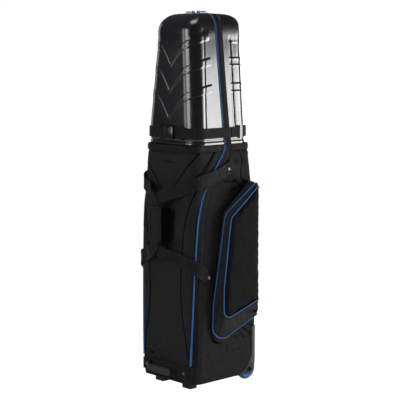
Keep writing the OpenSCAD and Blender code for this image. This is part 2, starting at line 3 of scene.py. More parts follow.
import bmesh
import bpy
import numpy as np
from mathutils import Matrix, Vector


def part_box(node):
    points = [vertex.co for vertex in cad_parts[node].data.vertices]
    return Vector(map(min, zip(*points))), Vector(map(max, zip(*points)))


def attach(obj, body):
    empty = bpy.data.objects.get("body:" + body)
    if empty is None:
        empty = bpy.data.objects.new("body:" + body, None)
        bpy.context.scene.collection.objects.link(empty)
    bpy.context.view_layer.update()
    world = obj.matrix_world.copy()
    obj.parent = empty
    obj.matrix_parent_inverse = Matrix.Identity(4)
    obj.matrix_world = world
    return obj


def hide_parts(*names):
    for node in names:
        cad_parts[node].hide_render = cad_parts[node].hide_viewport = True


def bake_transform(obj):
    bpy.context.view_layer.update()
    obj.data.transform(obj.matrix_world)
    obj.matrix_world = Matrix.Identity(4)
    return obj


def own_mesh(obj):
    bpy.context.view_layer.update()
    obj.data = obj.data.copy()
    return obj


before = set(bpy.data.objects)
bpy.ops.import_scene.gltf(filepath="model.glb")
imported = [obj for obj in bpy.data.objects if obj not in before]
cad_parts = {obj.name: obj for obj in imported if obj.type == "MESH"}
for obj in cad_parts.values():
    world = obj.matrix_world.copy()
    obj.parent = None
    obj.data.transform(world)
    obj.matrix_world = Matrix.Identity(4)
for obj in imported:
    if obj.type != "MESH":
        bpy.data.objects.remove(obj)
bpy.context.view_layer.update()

# Sizes are in millimetres, in the frame's axes. Meshes are scaled to metres when they are made.
MM = 0.001


def low(node, axis):
    """A CAD node's lowest x, y or z, in millimetres."""
    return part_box(node)[0]["xyz".index(axis)] / MM


def high(node, axis):
    """A CAD node's highest x, y or z, in millimetres."""
    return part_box(node)[1]["xyz".index(axis)] / MM


BODY_HALF = high("side_panel_right", "x")
BODY_DEEP = -low("front_panel", "y")
BODY_FLOOR = low("side_panel_right", "z")
BODY_TOP = high("front_panel", "z")
HEM_LOW = low("front_hem", "z")
HEM_HIGH = high("front_hem", "z")
CROWN = high("front_shell", "z")
FOLD_Z = low("front_panel", "z")
SHELL_FOOT = low("front_shell", "z")
SHELL_HALF = 130.0
SHELL_HALF_TOP = 101.5
SHELL_FRONT = 138.0
SHELL_REAR = 130.0
HOUSING_TOP = high("wheel_housing_right", "z")
SEAM_Y = 126.5

# Height, half width, front, back, front corner radius and back corner radius
BODY_SECTIONS = np.array([
    [BODY_FLOOR, BODY_HALF - 5, BODY_DEEP - 5, BODY_DEEP - 5, 38, 28],
    [60, BODY_HALF, BODY_DEEP, BODY_DEEP, 40, 28],
    [560, BODY_HALF, BODY_DEEP, BODY_DEEP, 40, 28],
    [850, SHELL_HALF + 1.5, SHELL_FRONT + 8, SHELL_REAR + 7, 46, 40],
])
SHELL_SECTIONS = np.array([
    [800, SHELL_HALF - 1, SHELL_FRONT - 1, SHELL_REAR - 1, 50, 50],
    [900, SHELL_HALF, SHELL_FRONT, SHELL_REAR, 50, 50],
    [CROWN - 90, SHELL_HALF_TOP, SHELL_FRONT - 17, SHELL_REAR + 1, 50, 46],
    [CROWN - 57, SHELL_HALF_TOP - 2.5, SHELL_FRONT - 16, SHELL_REAR, 47, 42],
    [CROWN - 32, SHELL_HALF_TOP - 7.5, SHELL_FRONT - 23, SHELL_REAR - 5, 42, 36],
    [CROWN - 17, SHELL_HALF_TOP - 15.5, SHELL_FRONT - 38, SHELL_REAR - 15, 36, 30],
    [CROWN - 8, SHELL_HALF_TOP - 24, SHELL_FRONT - 51, SHELL_REAR - 27, 33, 29],
    [CROWN - 2.5, SHELL_HALF_TOP - 33, SHELL_FRONT - 65, SHELL_REAR - 43, 31, 28],
    [CROWN, 58, 58, 64, 30, 28],
])
SHOULDER = CROWN - 90

# The zip's run in side view, as (height, distance behind the middle)
ZIP_KNOTS = [(92, -153), (300, -147), (460, -141), (600, -130), (700, -100),
             (790, -36), (850, 2), (930, -3), (1222, -10), (1500, -10)]
PIPING_HALF = 2.5
DOOR_EDGE = PIPING_HALF + 0.5
FRONT_TAPE = (3.0, 16.0)
REAR_TAPE = (16.5, 29.5)
PANEL_START = 30.0


# ---------------------------------------------------------------- curves and sections

def ramp(value, start, width):
    """Smooth step from 0 at start to 1 at start + width."""
    t = np.clip((value - start) / width, 0, 1)
    return t * t * (3 - 2 * t)


def ridge(distance, half, soft):
    """1 within half of a line, falling to 0 over soft beyond it."""
    return 1 - ramp(np.abs(distance), half, soft)


def ripple(x, y, z, size, amount, seed=0.0):
    """Uneven waves, about size apart, for cloth that isn't quite flat."""
    k = 2 * math.pi / size
    total = np.sin(k * (0.9 * x + 0.3 * z) + 1.7 + seed) * np.sin(k * (0.8 * z - 0.4 * y) + seed * 2)
    total = total + 0.6 * np.sin(k * (1.7 * y + 0.7 * z + 0.4 * x) + 3 * seed)
    total = total + 0.4 * np.sin(k * (2.3 * z - 1.1 * x) + 5 * seed + 0.8)
    return amount * total / 2


def crumple(x, y, z, size, amount, seed=0.0):
    """Crisp soft-cloth creases in patches, with smooth cloth between them."""
    along = x * 0.62 + y * 0.78
    bend = 1.5 * np.sin(z / (size * 1.9) + seed) + 1.1 * np.sin(along / (size * 1.3) + 2.3 * seed)
    lines = np.abs(np.sin((along * 0.7 + z * 0.45) / size + bend))
    cross = np.abs(np.sin((along * 0.5 - z * 0.6) / size * 0.83 - bend + seed))
    patch = np.clip(np.sin(along / 52 + seed * 3) + np.sin(z / 74 + seed) - 0.1, 0, 1.2)
    return amount * patch * (0.6 * lines**0.6 + 0.4 * cross**0.6 - 0.75)


def smooth_curve(knots, t):
    """Cubic curve through (t, value) knots, its slope at each set by the two beside it."""
    keys = np.array([k[0] for k in knots], float)
    values = np.array([k[1] for k in knots], float)
    last = len(keys) - 1
    slopes = np.array([
        (values[min(i + 1, last)] - values[max(i - 1, 0)]) / (keys[min(i + 1, last)] - keys[max(i - 1, 0)])
        for i in range(last + 1)
    ])
    t = np.asarray(t, float)
    i = np.clip(np.searchsorted(keys, t, side="right") - 1, 0, last - 1)
    span = keys[i + 1] - keys[i]
    u = (t - keys[i]) / span
    return ((2 * u**3 - 3 * u**2 + 1) * values[i] + (u**3 - 2 * u**2 + u) * span * slopes[i]
            + (3 * u**2 - 2 * u**3) * values[i + 1] + (u**3 - u**2) * span * slopes[i + 1])


def zip_y(z):
    """Distance behind the middle of the zip's run at a height."""
    return smooth_curve(ZIP_KNOTS, z)


def zip_edge(z, behind):
    """Distance behind the middle, at a height, of a line so far behind the zip's run."""
    slope = (zip_y(z + 1) - zip_y(z - 1)) / 2
    return zip_y(z) + behind * np.sqrt(1 + slope**2)


def section(sections, z):
    """Half width, front, back and the two corner radii at a height."""
    return [np.interp(z, sections[:, 0], sections[:, i]) for i in range(1, 6)]


def skin(z):
    """The outer section at a height: body, then the hem's band, then the shell."""
    body, shell = section(BODY_SECTIONS, z), section(SHELL_SECTIONS, z)
    if z > HEM_HIGH:
        return shell
    if z < HEM_LOW:
        return body
    return [b + (1.0 if i < 3 else 0.0) for i, b in enumerate(body)]


def lengths(sec):
    """Arc lengths from the front's middle to each end of the front corner, of the rear corner and of the half."""
    half, front, back, rf, rb = sec
    l1 = half - rf
    l2 = l1 + rf * math.pi / 2
    l3 = l2 + front + back - rf - rb
    l4 = l3 + rb * math.pi / 2
    return l1, l2, l3, l4, l4 + half - rb


def around(sec, s):
    """Points and outward normals at arc lengths from the front's middle, positive towards +X."""
    half, front, back, rf, rb = sec
    l1, l2, l3, l4, l5 = lengths(sec)
    s = np.asarray(s, float)
    side = np.where(s < 0, -1.0, 1.0)
    a = np.abs(s)
    side = np.where(a > l5, -side, side)
    a = np.where(a > l5, 2 * l5 - a, a)
    tf = np.clip((a - l1) / rf, 0, math.pi / 2)
    tb = np.clip((a - l3) / rb, 0, math.pi / 2)
    on_front, on_rear = a < l2, a >= l3
    x = np.where(a < l1, a, half - rf + rf * np.sin(tf))
    x = np.where(on_rear, half - rb + rb * np.cos(tb) - np.clip(a - l4, 0, None), x)
    y = np.where(on_front, -front + rf - rf * np.cos(tf), -front + rf + a - l2)
    y = np.where(on_rear, back - rb + rb * np.sin(tb), y)
    nx = np.where(on_rear, np.cos(tb), np.sin(tf))
    ny = np.where(on_rear, np.sin(tb), -np.cos(tf))
    return x * side, y, nx * side, ny


def reach(sec, y):
    """Arc length at which the right-hand side passes y."""
    _, front, back, rf, rb = sec
    l1, l2, l3, _, _ = lengths(sec)
    if y < -front + rf:
        return l1 + rf * math.acos(min(max((rf - front - y) / rf, -1), 1))
    if y < back - rb:
        return l2 + y + front - rf
    return l3 + rb * math.asin(min((y - back + rb) / rb, 1))


def crown_rows(count):
    """Heights and sections over the shell's shoulder, on a smooth curve through its sections."""
    knots = SHELL_SECTIONS[2:]
    steps = np.arange(len(knots))
    t = np.linspace(0, len(knots) - 1, count + 1)[1:]
    columns = [smooth_curve(list(zip(steps, knots[:, i])), t) for i in range(6)]
    rows = np.array(columns).T
    rows[:, 0] = np.minimum(rows[:, 0], CROWN)
    return [(row[0], list(row[1:])) for row in rows]


# ---------------------------------------------------------------- materials

class Paint:
    """A node material on one Principled shader."""

    def __init__(self, name, color, roughness, **sockets):
        self.material = bpy.data.materials.new(name)
        self.material.use_nodes = True
        self.tree = self.material.node_tree
        self.shader = self.tree.nodes["Principled BSDF"]
        self.color = color
        self.shader.inputs["Base Color"].default_value = (*color, 1)
        self.shader.inputs["Roughness"].default_value = roughness
        for socket, value in sockets.items():
            self.shader.inputs[socket.replace("_", " ")].default_value = value
        self.last_bump = None

    def add(self, kind, inputs=(), **settings):
        node = self.tree.nodes.new("ShaderNode" + kind)
        for key, value in settings.items():
            setattr(node, key, value)
        for key, value in dict(inputs).items():
            if isinstance(value, bpy.types.NodeSocket):
                self.tree.links.new(value, node.inputs[key])
            else:
                node.inputs[key].default_value = value
        return node

    def coords(self, kind="Object"):
        return self.add("TexCoord").outputs[kind]

    def noise(self, scale, detail=3, rough=0.55, vector=None):
        vector = self.coords() if vector is None else vector
        return self.add("TexNoise", {"Vector": vector, "Scale": scale, "Detail": detail,
                                     "Roughness": rough}).outputs["Fac"]

    def wave(self, period, direction, vector):
        """Sine bands of that period, in metres, across the X or Y of a vector."""
        return self.add("TexWave", {"Vector": vector, "Scale": 2 * math.pi / (20 * period)},
                        bands_direction=direction, wave_profile="SIN").outputs["Fac"]

    def math(self, operation, a, b=0.0):
        return self.add("Math", {0: a, 1: b}, operation=operation).outputs[0]

    def spread(self, value, low_out, high_out, low_in=0.3, high_in=0.7):
        return self.add("MapRange", {"Value": value, "From Min": low_in, "From Max": high_in,
                                     "To Min": low_out, "To Max": high_out}).outputs[0]

    def tint(self, factor, dark, light):
        """Varies the base colour between two multiples of it."""
        mix = self.add("Mix", {0: factor}, data_type="RGBA")
        mix.inputs[6].default_value = (*[c * dark for c in self.color], 1)
        mix.inputs[7].default_value = (*[c * light for c in self.color], 1)
        self.tree.links.new(mix.outputs[2], self.shader.inputs["Base Color"])
        return mix

    def paint_crease_shade(self, depth):
        """Paints shade into seams and folds, marked on the mesh as crease: their base colour is mixed towards near
        black.
        """
        color = self.shader.inputs["Base Color"]
        mark = self.add("Attribute", attribute_name="crease").outputs["Fac"]
        mix = self.add("Mix", {0: self.math("MULTIPLY", mark, depth)}, data_type="RGBA")
        self.tree.links.new(color.links[0].from_socket, mix.inputs[6])
        mix.inputs[7].default_value = (0.0005, 0.0005, 0.0006, 1)
        self.tree.links.new(mix.outputs[2], color)

    def rough(self, factor):
        self.tree.links.new(factor, self.shader.inputs["Roughness"])

    def bump(self, height, strength, distance):
        inputs = {"Height": height, "Strength": strength, "Distance": distance}
        if self.last_bump is not None:
            inputs["Normal"] = self.last_bump
        self.last_bump = self.add("Bump", inputs).outputs["Normal"]
        self.tree.links.new(self.last_bump, self.shader.inputs["Normal"])


def woven(name, color, pitch, diagonal=0.0, light=1.5, sheen=0.015, gloss=0.0):
    """Plain-weave cloth: two sets of threads, finer uneven dye, a soft nap, broad mottling that paints the shade and
    sheen of soft wrinkles into its colour, and painted shade in its creases.
    """
    p = Paint(name, color, 0.85, Sheen_Weight=sheen, Sheen_Roughness=0.5, Specular_IOR_Level=0.05 + gloss)
    uv = p.coords("UV")
    turned = p.add("Mapping", {"Vector": uv, "Rotation": (0, 0, math.radians(diagonal))}).outputs[0]
    warp = p.wave(pitch, "X", turned)
    weft = p.wave(pitch, "Y", turned)
    weave = p.math("MAXIMUM", p.math("MULTIPLY", warp, p.spread(weft, 1.0, 0.35, 0, 1)),
                   p.math("MULTIPLY", weft, p.spread(warp, 1.0, 0.35, 0, 1)))
    # Broad mottling: painted shade and sheen of soft wrinkles, which also varies the roughness.
    painted_shade_mottle = p.noise(38, 4, 0.6)
    slub = p.spread(p.noise(280, 3, 0.6), 0.0, 1.0, 0.35, 0.65)
    p.tint(p.math("ADD", p.math("MULTIPLY", painted_shade_mottle, 0.5), p.math("MULTIPLY", slub, 0.5)), 0.5, light)
    p.rough(p.spread(painted_shade_mottle, 0.72 - gloss, 0.92 - gloss))
    p.paint_crease_shade(0.92)
    p.bump(weave, 0.55, pitch * 0.35)
    p.bump(p.noise(330, 2, 0.6), 0.5, 0.0012)
    p.bump(p.noise(48, 4, 0.6), 0.35, 0.0022)
    return p.material


def webbing(name, color):
    """Ribbed webbing: ribs run along its length, crossed by fine picks."""
    pitch = 0.0022
    p = Paint(name, color, 0.75, Sheen_Weight=0.01, Specular_IOR_Level=0.1)
    uv = p.coords("UV")
    ribs = p.wave(pitch, "X", uv)
    picks = p.wave(pitch * 0.45, "Y", uv)
    shade = p.math("ADD", p.math("MULTIPLY", ribs, 0.5), p.math("MULTIPLY", p.noise(500, 2), 0.5))
    p.tint(shade, 0.6, 1.5)
    p.rough(p.spread(p.noise(70), 0.58, 0.8))
    p.bump(ribs, 0.6, 0.0005)
    p.bump(picks, 0.35, 0.0002)
    return p.material


def satin_cord(name, color):
    """Smooth woven edging over a cord, with a slanted thread."""
    p = Paint(name, color, 0.5, Sheen_Weight=0.05, Specular_IOR_Level=0.3)
    slant = p.add("Mapping", {"Vector": p.coords("UV"), "Rotation": (0, 0, math.radians(50))}).outputs[0]
    thread = p.wave(0.0011, "X", slant)
    p.tint(p.math("ADD", p.math("MULTIPLY", thread, 0.4), p.math("MULTIPLY", p.noise(90), 0.6)), 0.7, 1.3)
    p.rough(p.spread(p.noise(200), 0.35, 0.6))
    p.bump(thread, 0.4, 0.0002)
    return p.material


def shell_plastic(name, color):
    """Glossy moulded shell with a fine sparkle grain, hazed a little, scuffed on its edges, and with painted shade in
    its creases.
    """
    p = Paint(name, color, 0.22, Coat_Weight=0.35, Coat_Roughness=0.08, Specular_IOR_Level=0.6)
    grain = p.noise(1500, 2, 0.6)
    haze = p.noise(9, 4)
    scuff = p.noise(160, 5, 0.7)
    edge = p.spread(p.add("NewGeometry").outputs["Pointiness"], 0.0, 1.0, 0.53, 0.62)
    worn = p.math("MULTIPLY", edge, p.spread(scuff, 0.0, 1.0, 0.45, 0.6))
    p.tint(p.math("ADD", p.math("MULTIPLY", grain, 0.35), worn), 0.8, 2.2)
    p.paint_crease_shade(0.9)
    p.rough(p.math("ADD", p.spread(haze, 0.17, 0.27), p.math("MULTIPLY", worn, 0.2)))
    p.bump(grain, 0.38, 0.00022)
    p.bump(p.noise(430, 2, 0.7), 0.3, 0.0005)
    p.bump(p.noise(14, 3), 0.12, 0.002)
    return p.material


def moulded_plastic(name, color, roughness=0.5, gloss=0.3):
    """Satin moulded plastic with an eroded texture and rubbed edges."""
    p = Paint(name, color, roughness, Specular_IOR_Level=gloss)
    grain = p.noise(1100, 3, 0.6)
    edge = p.spread(p.add("NewGeometry").outputs["Pointiness"], 0.0, 1.0, 0.52, 0.64)
    dust = p.noise(45, 5, 0.65)
    p.tint(p.math("ADD", p.math("MULTIPLY", dust, 0.5), p.math("MULTIPLY", edge, 0.7)), 0.7, 1.7)
    p.rough(p.spread(dust, roughness - 0.08, roughness + 0.12))
    p.bump(grain, 0.3, 0.0002)
    return p.material


def satin_steel(name, color):
    """Nickelled steel, brushed in fine lines, dulled unevenly."""
    p = Paint(name, color, 0.3, Metallic=1.0)
    stretched = p.add("Mapping", {"Vector": p.coords(), "Scale": (60, 60, 2500)}).outputs[0]
    lines = p.noise(1, 2, 0.5, stretched)
    dull = p.noise(120, 4)
    p.tint(dull, 0.75, 1.15)
    p.rough(p.math("ADD", p.spread(dull, 0.38, 0.55), p.math("MULTIPLY", lines, 0.08)))
    p.bump(lines, 0.15, 0.0001)
    return p.material


def zip_cloth(name, color):
    """Herringbone zip tape."""
    p = Paint(name, color, 0.8, Specular_IOR_Level=0.15)
    uv = p.coords("UV")
    cross = p.wave(0.0016, "X", uv)
    slant = p.add("Mapping", {"Vector": uv, "Rotation": (0, 0, math.radians(35))}).outputs[0]
    twill = p.wave(0.001, "Y", slant)
    p.tint(p.math("MULTIPLY", p.math("ADD", cross, twill), 0.5), 0.6, 1.4)
    p.rough(p.spread(p.noise(80), 0.65, 0.85))
    p.bump(twill, 0.5, 0.0003)
    return p.material


def tyre_rubber(name, color):
    """Soft blue wheel rubber, scuffed and dusty."""
    p = Paint(name, color, 0.6, Specular_IOR_Level=0.4)
    dust = p.noise(70, 5, 0.65)
    p.tint(dust, 0.6, 1.35)
    p.rough(p.spread(dust, 0.45, 0.75))
    p.bump(p.noise(700, 3), 0.3, 0.0003)
    return p.material


def painted_floor(name):
    """Pale floor that the camera sees as evenly lit as the white room behind it."""
    p = Paint(name, (0.8, 0.8, 0.81), 0.9, Specular_IOR_Level=0.1)
    p.tint(p.noise(3, 2), 0.98, 1.02)
    seen = p.add("Emission", {"Color": (1, 1, 1, 1), "Strength": 1.08}).outputs[0]
    share = p.math("MULTIPLY", p.add("LightPath").outputs["Is Camera Ray"], 0.93)
    mix = p.add("MixShader", {0: share, 1: p.shader.outputs[0], 2: seen})
    p.tree.links.new(mix.outputs[0], p.tree.nodes["Material Output"].inputs["Surface"])
    return p.material


FABRIC = woven("fabric_body", (0.0148, 0.015, 0.0157), 0.0013)
TWILL = woven("fabric_twill", (0.0072, 0.0074, 0.0079), 0.0016, diagonal=45)
CRINKLE = woven("fabric_gusset", (0.0105, 0.0107, 0.0112), 0.0011, sheen=0.01, gloss=0.12)
# Near-black cloth that paints shadow: in the pocket's undercut, in the gap beside the handle's wrap and in the side
# slit's opening.
PAINTED_SHADE_CLOTH = woven("fabric_recess", (0.0006, 0.0006, 0.0007), 0.0011, sheen=0.0)
WEB = webbing("webbing_black", (0.0075, 0.0077, 0.0083))
PIPING = satin_cord("piping_blue", (0.008, 0.095, 0.3))
SHELL = shell_plastic("shell_black", (0.0045, 0.0047, 0.0052))
MOULDED = moulded_plastic("moulded_black", (0.0085, 0.0088, 0.0095))
BUCKLE = moulded_plastic("buckle_black", (0.003, 0.0032, 0.0035), 0.16, 0.6)
GRIP = moulded_plastic("grip_grey", (0.026, 0.0265, 0.028), 0.6)
STEEL = satin_steel("steel_satin", (0.13, 0.13, 0.133))
GUNMETAL = moulded_plastic("steel_black_enamel", (0.005, 0.0051, 0.0055), 0.75, 0.05)
ZIP = zip_cloth("zip_tape", (0.0045, 0.0046, 0.005))
COIL = moulded_plastic("zip_coil", (0.005, 0.0052, 0.0056), 0.6, 0.15)
LINING = woven("lining_grey", (0.045, 0.0465, 0.051), 0.001, light=1.25, sheen=0.15)
TYRE = tyre_rubber("tyre_blue", (0.012, 0.11, 0.33))
HUB = moulded_plastic("hub_grey", (0.03, 0.031, 0.033), 0.4)
THREAD = satin_cord("thread_charcoal", (0.014, 0.0145, 0.016))


# ---------------------------------------------------------------- mesh building

def placed(name, data):
    """A new object with that data, in the scene."""
    obj = bpy.data.objects.new(name, data)
    bpy.context.scene.collection.objects.link(obj)
    return obj


def make(name, points, faces, material, uv=None, smooth=True):
    """A mesh object from millimetre points."""
    mesh = bpy.data.meshes.new(name)
    mesh.from_pydata((np.asarray(points, float) * MM).tolist(), [], faces)
    if uv is not None:
        layer = mesh.uv_layers.new(name="UVMap")
        corner = np.zeros(len(mesh.loops), np.int32)
        mesh.loops.foreach_get("vertex_index", corner)
        layer.data.foreach_set("uv", (np.asarray(uv, float)[corner] * MM).astype(np.float32).ravel())
    mesh.materials.append(material)
    mesh.validate()
    shape = bmesh.new()
    shape.from_mesh(mesh)
    bmesh.ops.recalc_face_normals(shape, faces=shape.faces)
    shape.to_mesh(mesh)
    shape.free()
    if smooth:
        mesh.shade_smooth()
    return placed(name, mesh)


def settle(obj, body, slot, *nodes):
    """Fixes a finished piece to its body and hides the CAD nodes that it stands for. slot is not used."""
    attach(obj, body)
    if nodes:
        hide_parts(*nodes)
    return obj


def unit(vectors):
    """Vectors of length 1, in the same directions."""
    return vectors / np.maximum(np.linalg.norm(vectors, axis=-1, keepdims=True), 1e-9)


def travelled(path):
    """Distance along a path, at each of its points."""
    return np.concatenate([[0], np.cumsum(np.linalg.norm(np.diff(path, axis=0), axis=1))])


def read_at(values, along, at):
    """Rows of values that are known at distances along, read at other distances."""
    return np.stack([np.interp(at, along, values[:, k]) for k in range(values.shape[1])], axis=-1)


def frame_of(path, across):
    """Unit vectors along a path, across it and away from its face."""
    run = unit(np.gradient(path, axis=0))
    w = unit(across - run * np.sum(across * run, axis=1, keepdims=True))
    return run, w, np.cross(run, w)


def grid_faces(rows, columns, start=0, flip=False, closed=False):
    faces = []
    for r in range(rows - 1):
        for c in range(columns if closed else columns - 1):
            d = (c + 1) % columns
            quad = [start + r * columns + c, start + r * columns + d,
                    start + (r + 1) * columns + d, start + (r + 1) * columns + c]
            faces.append(quad[::-1] if flip else quad)
    return faces


def grid_normals(grid):
    return unit(np.cross(np.gradient(grid, axis=1), np.gradient(grid, axis=0)))


def loft_faces(count, columns):
    """Faces of closed rings, one after another, with both ends capped."""
    last = (count - 1) * columns
    return grid_faces(count, columns, closed=True) + [
        list(range(columns))[::-1], [last + k for k in range(columns)]]


def sheet_faces(rows, columns):
    """Faces of a closed sheet: an outer grid of points, an inner grid, and the rim between them."""
    count = rows * columns
    faces = grid_faces(rows, columns) + grid_faces(rows, columns, count, flip=True)
    rim = [r * columns for r in range(rows)] + [(rows - 1) * columns + c for c in range(1, columns)]
    rim += [r * columns + columns - 1 for r in range(rows - 2, -1, -1)] + list(range(columns - 2, 0, -1))
    return faces + [[a, b, b + count, a + count] for a, b in zip(rim, rim[1:] + rim[:1])]


def blurred(grid, reach_by):
    """Each point's mean over the points within so many rows and columns of it."""
    for axis in (0, 1):
        pad = [(reach_by, reach_by) if a == axis else (0, 0) for a in range(3)]
        wide = np.pad(grid, pad, mode="reflect", reflect_type="odd")
        count = grid.shape[axis]
        grid = sum(np.take(wide, range(k, k + count), axis=axis) for k in range(2 * reach_by + 1))
        grid = grid / (2 * reach_by + 1)
    return grid


def both_faces(outer, inner, uv):
    """Points, and UVs if there are any, of a sheet's outer and inner faces together."""
    points = np.concatenate([outer.reshape(-1, 3), inner.reshape(-1, 3)])
    return points, None if uv is None else np.concatenate([uv.reshape(-1, 2)] * 2)


def thick_sheet(name, grid, thickness, material, uv=None):
    """Closed sheet: the grid is its outer face, and its inner face lies thickness inside it."""
    normals = grid_normals(grid)
    # Points in hollows are marked crease: the materials paint shade there by darkening their colour.
    hollow = np.sum((blurred(grid, 4) - grid) * normals, axis=2)
    crease = np.clip((hollow - 0.12) / 0.75, 0, 1).ravel()
    points, uv = both_faces(grid, grid - normals * thickness, uv)
    obj = make(name, points, sheet_faces(*grid.shape[:2]), material, uv)
    mark = obj.data.attributes.new("crease", "FLOAT", "POINT")
    mark.data.foreach_set("value", np.concatenate([crease, crease * 0]).astype(np.float32))
    return obj


def wall_grid(rows, columns, relief=None):
    """Grid over upright rows of (height, section, start, end), pushed out by relief(x, y, z, s)."""
    grid = np.zeros((len(rows), columns, 3))
    uv = np.zeros((len(rows), columns, 2))
    for i, (z, sec, s0, s1) in enumerate(rows):
        s = np.linspace(s0, s1, columns)
        x, y, nx, ny = around(sec, s)
        out = relief(x, y, np.full(columns, z), s) if relief else 0
        grid[i] = np.stack([x + nx * out, y + ny * out, np.full(columns, z)], axis=1)
        uv[i] = np.stack([s, np.full(columns, z)], axis=1)
    return grid, uv


def make_wall(name, rows, columns, relief, thickness, material, body, slot, *nodes):
    """A wall of the case, as a thick sheet over its rows."""
    grid, uv = wall_grid(rows, columns, relief)
    settle(thick_sheet(name, grid, thickness, material, uv), body, slot, *nodes)


def ribbon(centres, acrosses, width, thick, name, material):
    """Flat webbing along centres, with rounded edges. Its width is one number or one for each centre."""
    centres, acrosses = np.asarray(centres, float), np.asarray(acrosses, float)
    _, w, t = frame_of(centres, acrosses)
    edge = thick / 2
    outline = []
    for side in (1, -1):
        for k in range(9):
            a = -side * math.pi / 2 + math.pi * k / 8
            outline.append((side, edge * math.cos(a) - side * edge, edge * math.sin(a)))
        outline += [(side * u, 0, side * edge) for u in (0.6, 0.2, -0.2, -0.6)]
    points, uv = [], []
    halves = np.broadcast_to(width, len(centres)) / 2
    for c, wv, tv, half, v in zip(centres, w, t, halves, travelled(centres)):
        for share, extra, up in outline:
            points.append(c + wv * (share * half + extra) + tv * up)
            uv.append((share * half, v))
    return make(name, points, loft_faces(len(centres), len(outline)), material, uv)


def through(points, steps):
    """Smooth curve through a list of points."""
    points = np.asarray(points, float)
    t = travelled(points[:, :3])
    samples = np.linspace(0, t[-1], steps)
    return np.stack([smooth_curve(list(zip(t, column)), samples) for column in points.T], axis=1)


def tube(path, radius, name, material):
    """Round cord along a path, in millimetres."""
    sides = 10
    run = unit(np.gradient(path, axis=0))
    up = np.cross(run[0], (1.0, 0.2, 0.1))
    points, uv = [], []
    for p, r, v in zip(path, run, travelled(path)):
        up = unit(up - r * (up @ r))
        other = np.cross(r, up)
        for k in range(sides):
            a = 2 * math.pi * k / sides
            points.append(p + radius * (up * math.cos(a) + other * math.sin(a)))
            uv.append((a * radius, v))
    return make(name, points, loft_faces(len(path), sides), material, uv)


def fold(obj, body, slot, start, end):
    """Bakes a webbing piece's transform into its mesh. body, slot, start and end are not used."""
    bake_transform(obj)
    return obj


STITCH_PITCH, STITCH_LENGTH = 4.2, 2.9


def sew(path, normals):
    """Points and faces of a row of stitches that lies on a surface along a path."""
    path, normals = np.asarray(path, float), np.asarray(normals, float)
    along = travelled(path)
    points, faces = [], []
    for d in np.arange(STITCH_PITCH / 2, along[-1] - STITCH_PITCH / 2, STITCH_PITCH):
        ends = read_at(path, along, np.array([d - STITCH_LENGTH / 2, d + STITCH_LENGTH / 2]))
        n = unit(read_at(normals, along, np.array([d]))[0])
        b = np.cross(n, unit(ends[1] - ends[0])) * 0.45
        mid = (ends[0] + ends[1]) / 2
        start = len(points)
        points += [ends[0], mid + b, mid + n * 0.5, mid - b, mid - n * 0.3, ends[1]]
        for k in range(4):
            a, c = start + 1 + k, start + 1 + (k + 1) % 4
            faces += [[start, c, a], [start + 5, a, c]]
    return points, faces


def stitching(name, rows, body=None, slot="webbing"):
    """One piece with rows of stitches, each a (path, normals) pair. Without a body it isn't settled yet."""
    points, faces = [], []
    for path, normals in rows:
        more, its_faces = sew(path, normals)
        faces += [[i + len(points) for i in face] for face in its_faces]
        points += more
    seams = make(name, points, faces, THREAD, np.asarray(points)[:, 1:3])
    return settle(seams, body, slot) if body else seams


# ---------------------------------------------------------------- camera, floor and light

def aim(obj, azimuth, distance, height, look):
    """Stands a camera or lamp at an azimuth in radians, looking along a vector or at a point on the axis."""
    obj.location = (math.sin(azimuth) * distance, -math.cos(azimuth) * distance, height)
    if not isinstance(look, Vector):
        look = Vector((0, 0, look)) - obj.location
    obj.rotation_mode = "QUATERNION"
    obj.rotation_quaternion = look.to_track_quat("-Z", "Y")


def make_camera():
    azimuth, pitch = math.radians(47.22), math.radians(7.307)
    data = bpy.data.cameras.new("camera")
    data.lens = 113.38
    data.sensor_width = 36
    data.shift_x = 0.0039
    camera = placed("camera", data)
    look = Vector((-math.sin(azimuth) * math.cos(pitch), math.cos(azimuth) * math.cos(pitch), -math.sin(pitch)))
    aim(camera, azimuth, 4.479, 1.228, look)
    bpy.context.scene.camera = camera


def make_light(name, azimuth, height, distance, size, power, aim_z):
    data = bpy.data.lights.new(name, "AREA")
    data.shape = "RECTANGLE"
    data.size, data.size_y = size
    data.energy = power
    aim(placed(name, data), math.radians(azimuth), distance, height, aim_z)


FLOOR_HALF = 30000


def make_stage():
    corners = [(x * FLOOR_HALF, y * FLOOR_HALF, 0) for x, y in ((-1, -1), (1, -1), (1, 1), (-1, 1))]
    floor = make("floor", corners, [[0, 1, 2, 3]], painted_floor("floor_pale"), smooth=False)
    world = bpy.data.worlds.new("studio")
    world.use_nodes = True
    nodes, links = world.node_tree.nodes, world.node_tree.links
    seen = nodes.new("ShaderNodeBackground")
    seen.inputs["Color"].default_value = (1, 1, 1, 1)
    seen.inputs["Strength"].default_value = 1.0
    room = nodes["Background"]
    room.inputs["Color"].default_value = (0.9, 0.93, 1.0, 1)
    room.inputs["Strength"].default_value = 0.09
    mix = nodes.new("ShaderNodeMixShader")
    links.new(nodes.new("ShaderNodeLightPath").outputs["Is Camera Ray"], mix.inputs[0])
    links.new(room.outputs[0], mix.inputs[1])
    links.new(seen.outputs[0], mix.inputs[2])
    links.new(mix.outputs[0], nodes["World Output"].inputs["Surface"])
    bpy.context.scene.world = world
    bpy.context.scene.view_settings.view_transform = "Standard"
    make_light("front_box", 4, 1.35, 3.0, (1.25, 1.7), 38, 1.0)
    make_light("front_left_box", -25, 1.5, 3.2, (0.7, 1.7), 14, 1.0)
    make_light("left_box", -85, 1.7, 3.4, (1.2, 2.4), 10, 0.7)
    make_light("right_back_box", 141, 0.55, 2.6, (1.7, 1.8), 105, 0.6)
    make_light("back_box", 215, 0.7, 3.2, (1.6, 1.6), 40, 0.7)
    make_light("top_box", 60, 3.6, 0.9, (1.6, 1.6), 40, 0.4)


